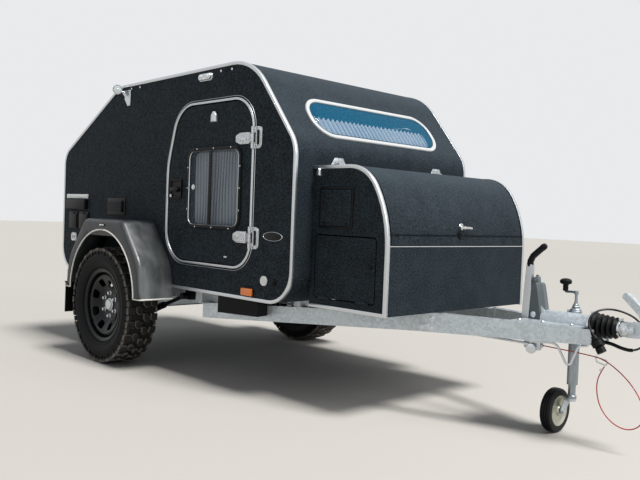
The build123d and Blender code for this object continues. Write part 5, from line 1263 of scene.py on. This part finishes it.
guard_corners = (
    (485.0, 432.0, 0.6), (457.0, 622.0, 260.0), (253.0, 870.0, 60.0), (-199.0, 870.0, 60.0),
    (-403.0, 622.0, 260.0), (-431.0, 432.0, 0.6),
)
guard_face, guard_foot, shoulder = 908.0, 432.0, 28.0
arch_x, arch_z, arch_radius = 27.0, 420.0, 385.0
guard_line = [(p, out) for p, out in rounded(guard_corners, turn=4.0)
              if p.y > guard_foot + 0.4 or abs(p.x - arch_x) > 450.0]
for name, side in SIDES:
    rings = []
    for p, out in guard_line:
        ring = [(p.x, side * 690.4, p.y)]
        for k in range(9):
            bend = pi / 2 * k / 8
            point = p + out * (-shoulder * (1 - cos(bend)))
            depth = guard_face - shoulder + shoulder * sin(bend)
            ring.append((point.x, side * depth, max(point.y, guard_foot)))
        angle = atan2(max(p.y - arch_z, 12.0), p.x - arch_x)
        arch = Vector((arch_x + arch_radius * cos(angle), max(arch_z + arch_radius * sin(angle), guard_foot)))
        inner = p - out * shoulder
        for share in (0.5, 1.0):
            point = inner + (arch - inner) * share
            ring.append((point.x, side * guard_face, max(point.y, guard_foot)))
        rings.append(ring)
    shell = skin(rings, open_ring=True, capped=False)
    sheet = add_piece(f"guard_{name}", shell, guard_coat, sharp=60.0)
    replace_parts(sheet, f"mudguard_{name}")
    thicken(sheet, 0.003)
    bead_arc, bead_z, outer_y, inner_y = arch_radius + 2.0, 430.0, side * 907.0, side * 694.0
    arch_line = [(arch_x + bead_arc * cos(a), side * 908.5, arch_z + bead_arc * sin(a))
                 for a in (radians(178.0 - 4.0 * k) for k in range(45))]
    bead_path = [(-431.0, inner_y, bead_z), (-431.0, outer_y, bead_z), (-360.0, outer_y, bead_z), *arch_line,
                 (414.0, outer_y, bead_z), (485.0, outer_y, bead_z), (485.0, inner_y, bead_z)]
    bead = pipe(bead_path, 4.6, 12, rounding=24.0)
    add_piece(f"guard_bead_{name}", bead, pale_bead, sharp=70.0)
    lay = on_wall(side, guard_face)
    lamp = flat_pad(36.5, 835.0, 61.0, 14.0, 6.0, 5.0, 1.5, lay)
    add_piece(f"guard_lamp_base_{name}", lamp, black_nylon)
    lenses = [flat_pad(x, 835.0, 22.0, 8.0, 3.9, 7.5, 1.8, lay, foot=4.0) for x in (22.0, 50.0)]
    add_piece(f"guard_lamp_{name}", together(*lenses), opal_lens)
    rows = []
    for k in range(13):
        sway = -3.0 * (k / 12) ** 2
        near, far = side * 712.0, side * 906.0
        corners = ((-431.0, near), (-431.0, far), (-425.0, far), (-425.0, near))
        rows.append([(x + sway, y, 458.0 - 198.0 * k / 12) for x, y in corners])
    flap = [skin(rows)]
    for k in range(9):
        y = side * (730.0 + 20.0 * k)
        flap.append(slab((-434.4, -430.0), (y - 3.0, y + 3.0), (285.0, 410.0)))
    add_piece(f"mud_flap_{name}", together(*flap), black_rubber, edge=0.8)

# Chassis and drawbar
# Rails, cross members, axle and the V of the drawbar are folded from sheet, welded or bolted, and
# hot-dip galvanised after cutting, so every face shows the pale spangle of frozen zinc.
# Hot-dip zinc: blue-grey spangles 8 to 15 mm across, each with its own tone and sheen
galvanised, shader = new_finish("hot-dip galvanised steel", "#b9c3c9", 0.42, 0.75)
tree, dip = shader.id_data, coordinates(shader)["Object"]
spangle = add_node(tree, "ShaderNodeTexVoronoi", {"Vector": dip, "Scale": 95.0})
facets = add_node(tree, "ShaderNodeSeparateColor", {"Color": spangle.outputs["Color"]}).outputs
clouds = noise(shader, 6.0, 5.0, dip)
blend(shader, clouds, blend(shader, facets["Red"], "#a3adb4", "#ced7db"), "#c3cbd0", "Base Color")
spread(shader, facets["Green"], 0.34, 0.56, into="Roughness")
dent(shader, clouds, 0.12, 0.002)
for name in ("side_rails", "drawbar_rails", "drawbar_beams", "cross_members", "rear_bar", "overrun_housing",
             "axle", "coupling_head", "jockey_fork"):
    finish_node(name, galvanised, edge=1.0)
finish_node("brake_rod", zinc_plate, edge=0.6)
finish_node("shock_absorbers", satin_black, edge=0.8)
finish_node("rail_box", black_nylon, edge=3.0)

# The outer line of the drawbar's V on each side, from the rear rail's end to the front
vee_rear_x, vee_rear_y = 655.0, 600.0
vee_front_x, vee_front_y = 2720.0, 72.0
vee_turn = atan2(vee_rear_y - vee_front_y, vee_front_x - vee_rear_x)


def vee_line(x):
    """Half the drawbar's outer width at a place along X."""
    return vee_rear_y + (vee_front_y - vee_rear_y) * (x - vee_rear_x) / (vee_front_x - vee_rear_x)


def bolt(place, direction, radius=8.0, height=7.0):
    """A hexagon bolt head on its washer."""
    place = Vector(place)
    tip = place + Vector(direction).normalized()
    washer = [(1.75 * radius, 0.0), (1.75 * radius, 1.6), (1.6 * radius, 2.0)]
    head = [(1.15 * radius, 1.6), (1.15 * radius, height - 1.2), (0.95 * radius, height)]
    return together(turned(washer, place, tip, 24), turned(head, place, tip, 6))


bolts = []
for side in (RIGHT, LEFT):
    outward = Vector((sin(vee_turn), side * cos(vee_turn), 0.0))
    web = outward * 4.1
    joint_bolts = ((1990.0, 438.0), (2012.0, 474.0), (1962.0, 432.0), (2010.0, 424.0))
    bolts += [bolt(Vector((x, side * vee_line(x), z)) + web, outward) for x, z in joint_bolts]
    web_bolts = ((2466.0, 484.0), (2466.0, 446.0), (2262.0, 440.0), (2072.0, 434.0))
    bolts += [bolt(Vector((x, side * vee_line(x), z)) + web, outward, 3.4, 4.0) for x, z in web_bolts]
    for x in (2400.0, 2500.0, 2620.0):
        bolts.append(bolt((x, side * (vee_line(x) - 24.0), 508.2), (0.0, 0.0, 1.0), 6.5, 6.0))
    for x in (655.0, 685.0):
        bolts.append(bolt((x, side * 620.0, 423.8), (0.0, 0.0, -1.0), 7.0, 6.0))
    for x in (-600.0, 60.0, 500.0):
        bolts.append(bolt((x, side * 590.2, 452.0), (0.0, side, 0.0), 6.5, 6.0))
add_piece("chassis_bolts", together(*bolts), zinc_plate)

# Cable holders
# A plated wire under the right beam keeps the cables off the road, a moulded hoop at the beam's end
# parks the plug, and a low plate between the beams' ends holds the light cable's grommet and sleeve.
# Further back the brake linkage's round plated cup is bolted to the beam's web.
beam_out = Vector((sin(vee_turn), -cos(vee_turn), 0.0))


def on_web(point, height):
    """Lays (x, z) and a height outward on the right beam's web."""
    return Vector((point.x, -vee_line(point.x), point.y)) + beam_out * height


beam_rear_x, beam_rear_z, beam_front_z = 1950.0, 408.0, 436.0
drops = ((2500.0, 4.0), (2546.0, 4.0), (2566.0, 14.0), (2606.0, 92.0), (2622.0, 92.0), (2652.0, 10.0),
         (2690.0, 4.0))
wire = []
for x, drop in drops:
    underside = beam_rear_z + (beam_front_z - beam_rear_z) * (x - beam_rear_x) / (vee_front_x - beam_rear_x)
    wire.append((x, -vee_line(x) + 22.0, underside - drop - 1.6))
holder = together(
    pipe(wire, 5.2, 14, rounding=12.0),
    slab((2709.0, 2714.0), (-72.4, 72.4), (436.6, 456.0)),
)
holder_piece = add_piece("cable_wire", holder, zinc_plate)
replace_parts(holder_piece, "cable_holders")
tip, top = Vector(plug_tip), Vector(plug_top)
plug_axis = (top - tip).normalized()
left_way = Vector((0.0, 1.0, 0.0))
over_way = plug_axis.cross(left_way)
hoop_section = ((20.5, 31.0), (23.4, 30.0), (24.8, 31.4), (24.8, 52.6), (23.4, 54.0), (20.5, 53.0))
hoop = []
for i in range(40):
    a = 2 * pi * i / 40
    outward = cos(a) * left_way + sin(a) * over_way
    hoop.append([tip + plug_axis * along + outward * radius for radius, along in hoop_section])
bracket = ((2716.0, 446.0, 2.0), (2716.0, 488.0, 5.0), (2728.0, 488.0, 5.0), (2766.0, 462.0, 5.0),
           (2766.0, 442.0, 3.0))
hoop_mesh = together(
    skin(hoop, closed_path=True),
    pad(rounded(bracket), 8.6, 0.8, on_web, foot=4.2),
    slab((2742.0, 2760.0), (-77.0, -72.0), (444.0, 460.0)),
)
add_piece("plug_hoop", hoop_mesh, black_nylon)
grommet_profile = [(7.5, 0.0), (7.5, 5.0), (6.4, 7.6), (5.0, 8.0)]
grommet = turned(grommet_profile, (2714.0, 0.0, 446.0), (2760.0, 0.0, 446.0), 24)
line = [Vector(place) for place in electric_route[:5]]
first, second, third = (line[1] + line[2]) / 2, (line[2] + line[3]) / 2, (line[3] + line[4]) / 2
# Three bends, each a quadratic curve in eighths; the sleeve ends in the middle of the last
bends = ((line[0], line[1], first, 8), (first, line[2], second, 8), (second, line[3], third, 5))
sleeve_path = []
for start, corner, end, steps in bends:
    for k in range(steps):
        s = k / 8
        sleeve_path.append((1 - s) ** 2 * start + 2 * s * (1 - s) * corner + s ** 2 * end)
sleeve = pipe(sleeve_path[1:], 7.6, 18)
add_piece("cable_sleeve", together(grommet, sleeve), black_rubber)
cup_base = Vector((2440.0, -84.0, 384.0))
cup_profile = [(20.0, 0.0), (23.0, 1.5), (23.0, 12.0), (21.0, 15.0), (15.0, 16.4), (0.1, 16.8)]
cup = together(
    turned(cup_profile, cup_base, cup_base + beam_out, 40),
    cylinder((2440.0, -66.0, 384.0), (2442.0, -88.0, 384.0), 7.0),
    slab((2428.0, 2480.0), (-80.0, -76.0), (378.0, 424.0)),
    bolt((2466.0, -80.2, 388.0), (0.0, -1.0, 0.0), 7.0, 8.0),
)
add_piece("brake_equaliser_cup", cup, zinc_plate)

# Rubber bellows and the coupling's fittings
# A black concertina of five folds covers the draw tube, held by a worm-drive band at each end. One
# large plated bolt and a smaller one cross the coupling's neck on each side.
draw_height = 512.0
folds_profile = [(50.3, 0.0), (50.3, 12.0)]
for k in range(5):
    crest, start = 56.5 - 2.6 * k, 14.0 + 22.0 * k
    folds_profile += [(crest - 13.0, start), (crest - 4.0, start + 6.0), (crest, start + 10.5),
                      (crest - 4.0, start + 15.0)]
folds_profile += [(36.0, 125.0), (34.8, 127.0), (34.8, 136.0)]
folds = turned(folds_profile, (2672.3, 0.0, draw_height), (2800.0, 0.0, draw_height), 64)
concertina = add_piece("rubber_bellows", folds, black_rubber, sharp=60.0)
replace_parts(concertina, "bellows")
bands = []
for x, radius in ((2678.0, 50.5), (2803.0, 35.0)):
    band_profile = [(radius, 0.0), (radius + 1.6, 0.4), (radius + 1.6, 9.0), (radius, 9.4)]
    top = draw_height + radius
    bands += [
        turned(band_profile, (x - 4.7, 0.0, draw_height), (x + 20.0, 0.0, draw_height), 48),
        slab((x - 5.5, x + 5.5), (-13.0, 9.0), (top, top + 9.0)),
        cylinder((x, 9.0, top + 5.0), (x, 17.0, top + 5.0), 4.0, 12),
    ]
add_piece("bellows_bands", together(*bands), stainless, edge=0.4)
neck_bolts = [
    bolt((x, side * 38.2, draw_height), (0.0, side, 0.0), radius, 8.0)
    for x, radius in ((2830.0, 12.0), (2860.0, 7.0)) for side in (RIGHT, LEFT)
]
add_piece("coupling_bolts", together(*neck_bolts), zinc_plate)

# Handbrake
# Two narrow plated blades with a fold between them and a moulded ribbed grip in black. Ahead of
# them a tapered sheet cover hides the spring and the toothed sector.
blade = ((2352.0, 508.4, 4.0), (2358.0, 640.0, 60.0), (2366.0, 754.0, 4.0), (2392.0, 754.0, 4.0),
         (2394.0, 640.0, 60.0), (2387.0, 508.4, 4.0))


def on_plane(y):
    """Lays (x, z) and a thickness towards the left on an upright plane."""
    return lambda point, height: (point.x, y + height, point.y)


levers = []
for y in (-34.0, -12.0):
    levers.append(stacked(rounded(blade), [(-1.0, 0.0), (0.0, 1.0), (0.0, 5.0), (-1.0, 6.0)], on_plane(y)))
levers.append(slab((2366.0, 2394.0), (-28.0, -12.0), (690.0, 752.0)))
pivot_x, pivot_z = 2411.0, 520.0
sector = []
for k in range(15):
    for grow in (0.0, 1.0):
        swing = radians(20.0 + 7.0 * k) + radians(3.5) * grow
        reach = 62.0 - 5.0 * grow
        sector.append((pivot_x + reach * cos(swing), pivot_z + reach * sin(swing)))
sector += [(2352.0, 520.0), (2352.0, 509.0), (2470.0, 509.0)]
levers.append(skin([[on_plane(y)(Vector(corner), 0.0) for corner in sector] for y in (-26.0, -20.0)]))
hub = bolt((2411.0, -34.2, 528.0), (0.0, -1.0, 0.0), 8.0, 8.0)
lever = add_piece("handbrake_lever", together(*levers, hub), zinc_plate, edge=0.6)
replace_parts(lever, "handbrake")
cover_sizes = ((509.0, 2470.0, 25.0), (560.0, 2461.0, 24.0), (620.0, 2450.0, 23.0), (664.0, 2441.0, 22.0),
               (672.0, 2436.0, 19.0), (674.0, 2430.0, 15.0))
cover_y = -8.0
cover_rings = []
for z, front_x, half in cover_sizes:
    back_x = 2391.0 + (674.0 - z) * 0.01
    right_y, left_y = cover_y - half, cover_y + half
    cover_rings.append([
        (back_x, right_y, z), (front_x - 22.0, right_y, z), (front_x - 17.0, -10.0 - 0.7 * half, z),
        (front_x, -6.0 - 0.3 * half, z), (front_x, left_y, z), (back_x, left_y, z),
    ])
spring_cap = [(14.0, 0.0), (14.0, 28.0), (12.0, 31.0), (7.0, 32.0), (7.0, 38.0), (5.0, 40.0)]
case = together(
    skin(cover_rings),
    turned(spring_cap, (2414.0, cover_y, 668.0), (2410.0, cover_y, 708.0), 24),
    bolt((2408.0, -26.0, 683.0), (0.0, -1.0, 0.0), 7.0, 8.0),
    slab((2400.0, 2416.0), (-26.2, 8.0), (672.0, 692.0)),
)
# Grey stoved enamel of the cover: smooth, with a low sheen
grey_enamel, _ = new_finish("grey stoved enamel", "#5c6468", 0.4, more={"Specular IOR Level": 0.3})
add_piece("handbrake_cover", case, grey_enamel, edge=1.0)
toe = slab((2420.0, 2476.0), (-30.0, 14.0), (508.4, 522.0))
add_piece("handbrake_cover_toe", toe, black_nylon, edge=3.0)
grip_places = ((2378.0, 740.0), (2378.0, 766.0), (2389.0, 790.0), (2418.0, 816.0), (2452.0, 845.0))
grip_line = [Vector(place) for place in grip_places]
rings = []
for k in range(33):
    t = k / 32 * (len(grip_line) - 1)
    i = min(int(t), len(grip_line) - 2)
    middle = grip_line[i].lerp(grip_line[i + 1], t - i)
    ahead = (grip_line[i + 1] - grip_line[i]).normalized()
    across = Vector((ahead.y, -ahead.x))
    rib = 1.6 if 6 < k < 28 and k % 2 else 0.0
    taper = 0.62 if k in (0, 32) else (0.9 if k in (1, 31) else 1.0)
    half_x, half_y = (15.0 - rib) * taper, (16.0 - rib) * taper
    ring = []
    for j in range(20):
        a = 2 * pi * j / 20
        point = middle + across * (half_x * cos(a))
        ring.append((point.x, -20.0 + half_y * sin(a), point.y))
    rings.append(ring)
add_piece("handbrake_grip", skin(rings), black_nylon, sharp=50.0)

# Jockey wheel
# A plated tube in a clamp between the beams, a crank with a black mushroom knob on top, the inner
# leg, and a pressed fork with a grooved solid rubber wheel on a passivated steel rim.
# Passivated zinc, faded: paler than the tube's plating and a little warm
passivated_zinc, shader = new_finish("faded passivated zinc", "#b6b7a8", 0.36, 1.0)
blend(shader, noise(shader, 40.0, 3.0), "#a5a594", "#c6c7bb", "Base Color")
# Weathered electroplate of the tube and leg: greyer, with a dull bloom
dull_zinc, shader = new_finish("weathered zinc plating", "#8f979c", 0.42, 1.0)
blend(shader, noise(shader, 22.0, 5.0), "#747d83", "#a9b1b6", "Base Color")

mast_x, mast_y = 2560.0, 75.0


def on_mast(profile, height, steps=40):
    """A part turned about the mast's axis, from a height upward."""
    return turned(profile, (mast_x, mast_y, height), (mast_x, mast_y, height + 100.0), steps)


crank = [(2562.0, 74.0, 637.0), (2530.0, 86.0, 637.5), (2494.0, 99.0, 634.0), (2494.0, 99.0, 656.0)]
mast = together(
    on_mast([(21.7, 0.0), (24.0, 0.8), (24.0, 338.0), (22.6, 341.0), (14.0, 346.0), (13.0, 350.0),
             (13.0, 362.0), (8.6, 366.0), (6.0, 384.0), (6.0, 420.0), (0.1, 421.0)], 222.0),
    on_mast([(26.5, 0.0), (28.0, 1.5), (28.0, 8.0), (26.5, 9.5)], 546.0),
    on_mast([(18.0, 0.0), (18.0, 9.0), (15.6, 11.0), (13.0, 11.0)], 566.0, 6),
    cylinder((mast_x, mast_y, 552.0), (2526.0, 62.0, 552.0), 7.0),
    pipe(crank, 5.5, 14, rounding=10.0),
    cylinder((mast_x, mast_y, 628.0), (mast_x, mast_y, 645.0), 9.0),
    slab((2534.0, 2586.0), (42.6, 73.0), (450.0, 486.0)),
    on_mast([(24.1, 0.0), (31.0, 0.6), (31.0, 35.4), (24.1, 36.0)], 450.0),
)
tube = add_piece("jockey_mast", mast, dull_zinc)
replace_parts(tube, "jockey_tube")
leg_profile = [(21.4, 0.0), (21.4, 12.0), (19.0, 15.0), (16.4, 16.0), (16.4, 224.0), (15.0, 225.0)]
leg = on_mast(leg_profile, 160.0, 32)
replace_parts(add_piece("jockey_inner_leg", leg, dull_zinc, "jockey_leg"), "jockey_leg")
knob_profile = [(11.0, 0.0), (12.0, 2.0), (12.0, 26.0), (15.0, 30.0), (24.0, 33.0), (27.0, 39.0),
                (26.0, 48.0), (20.0, 54.0), (10.0, 57.0), (0.1, 57.6)]
knob = turned(knob_profile, (2494.0, 99.0, 638.0), (2494.0, 99.0, 720.0), 40)
add_piece("jockey_knob", knob, black_nylon)
pin_x, pin_y, pin_z = 2500.0, 41.0, 100.0


def jockey_ring(profile, steps):
    """A closed section of (radius, along X) pairs swept round the jockey wheel's pin."""
    rings = []
    for i in range(steps):
        a = 2 * pi * i / steps
        rings.append([(pin_x + along, pin_y + r * cos(a), pin_z + r * sin(a)) for r, along in profile])
    return skin(rings, closed_path=True)


rubber_section = [(66.0, -22.0), (84.0, -24.6), (94.0, -23.0), (98.6, -17.0), (99.2, -13.6), (95.6, -12.8),
                  (95.6, -10.4), (99.8, -9.6), (100.0, -2.0), (96.2, -1.2), (96.2, 1.2), (100.0, 2.0),
                  (99.8, 9.6), (95.6, 10.4), (95.6, 12.8), (99.2, 13.6), (98.6, 17.0), (94.0, 23.0),
                  (84.0, 24.6), (66.0, 22.0)]
rubber = jockey_ring(rubber_section, 72)
solid_tyre = add_piece("jockey_tyre", rubber, black_rubber, "jockey_wheel")
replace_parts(solid_tyre, "jockey_wheel")
rim_half = [(69.0, 23.6), (66.5, 23.4), (62.0, 18.0), (52.0, 15.0), (34.0, 17.0), (24.0, 20.0), (22.0, 27.0),
            (18.0, 28.8), (8.4, 28.8)]
jockey_rim = rim_half + [(r, -x) for r, x in reversed(rim_half)]
add_piece("jockey_rim", jockey_ring(jockey_rim, 72), passivated_zinc, "jockey_wheel", sharp=50.0)

# Tail lamps
# Two round lamps on each side of the rear bar: a black moulded ring with a ribbed lens, red for
# the outer lamp and amber for the inner one.
# Moulded red acrylic: deep colour with concentric prism steps behind a glossy face
red_lens = new_prism("moulded red acrylic", "#a50f14", 0.14, 260.0, 0.35, 0.0008, glossy_coat)
lens_steps = [(0.1, 18.0)]
for k in range(6):
    lens_steps += [(6.0 * k + 3.0, 18.4 - 0.5 * k), (6.0 * k + 5.0, 17.2 - 0.5 * k)]
lens_steps += [(36.0, 12.0), (36.0, 2.0)]
lamp_ring = [(42.0, 0.0), (42.0, 14.0), (40.0, 17.0), (37.5, 17.0), (36.4, 14.0), (36.4, 1.0)]
lamp_rings = []
for name, y, finish, slot in (("outer", 575.0, red_lens, "red_lens"), ("inner", 475.0, amber_lens, "amber")):
    lenses = []
    for side in (RIGHT, LEFT):
        base, tip = (-962.2, side * y, 443.0), (-1100.0, side * y, 443.0)
        lenses.append(turned(lens_steps[::-1], base, tip, 56))
        lamp_rings.append(turned(lamp_ring, base, tip, 56))
    lamp = add_piece(f"tail_lenses_{name}", together(*lenses), finish, sharp=60.0)
    if name == "outer":
        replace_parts(lamp, "tail_lamps")
add_piece("tail_lamp_rings", together(*lamp_rings), black_nylon)
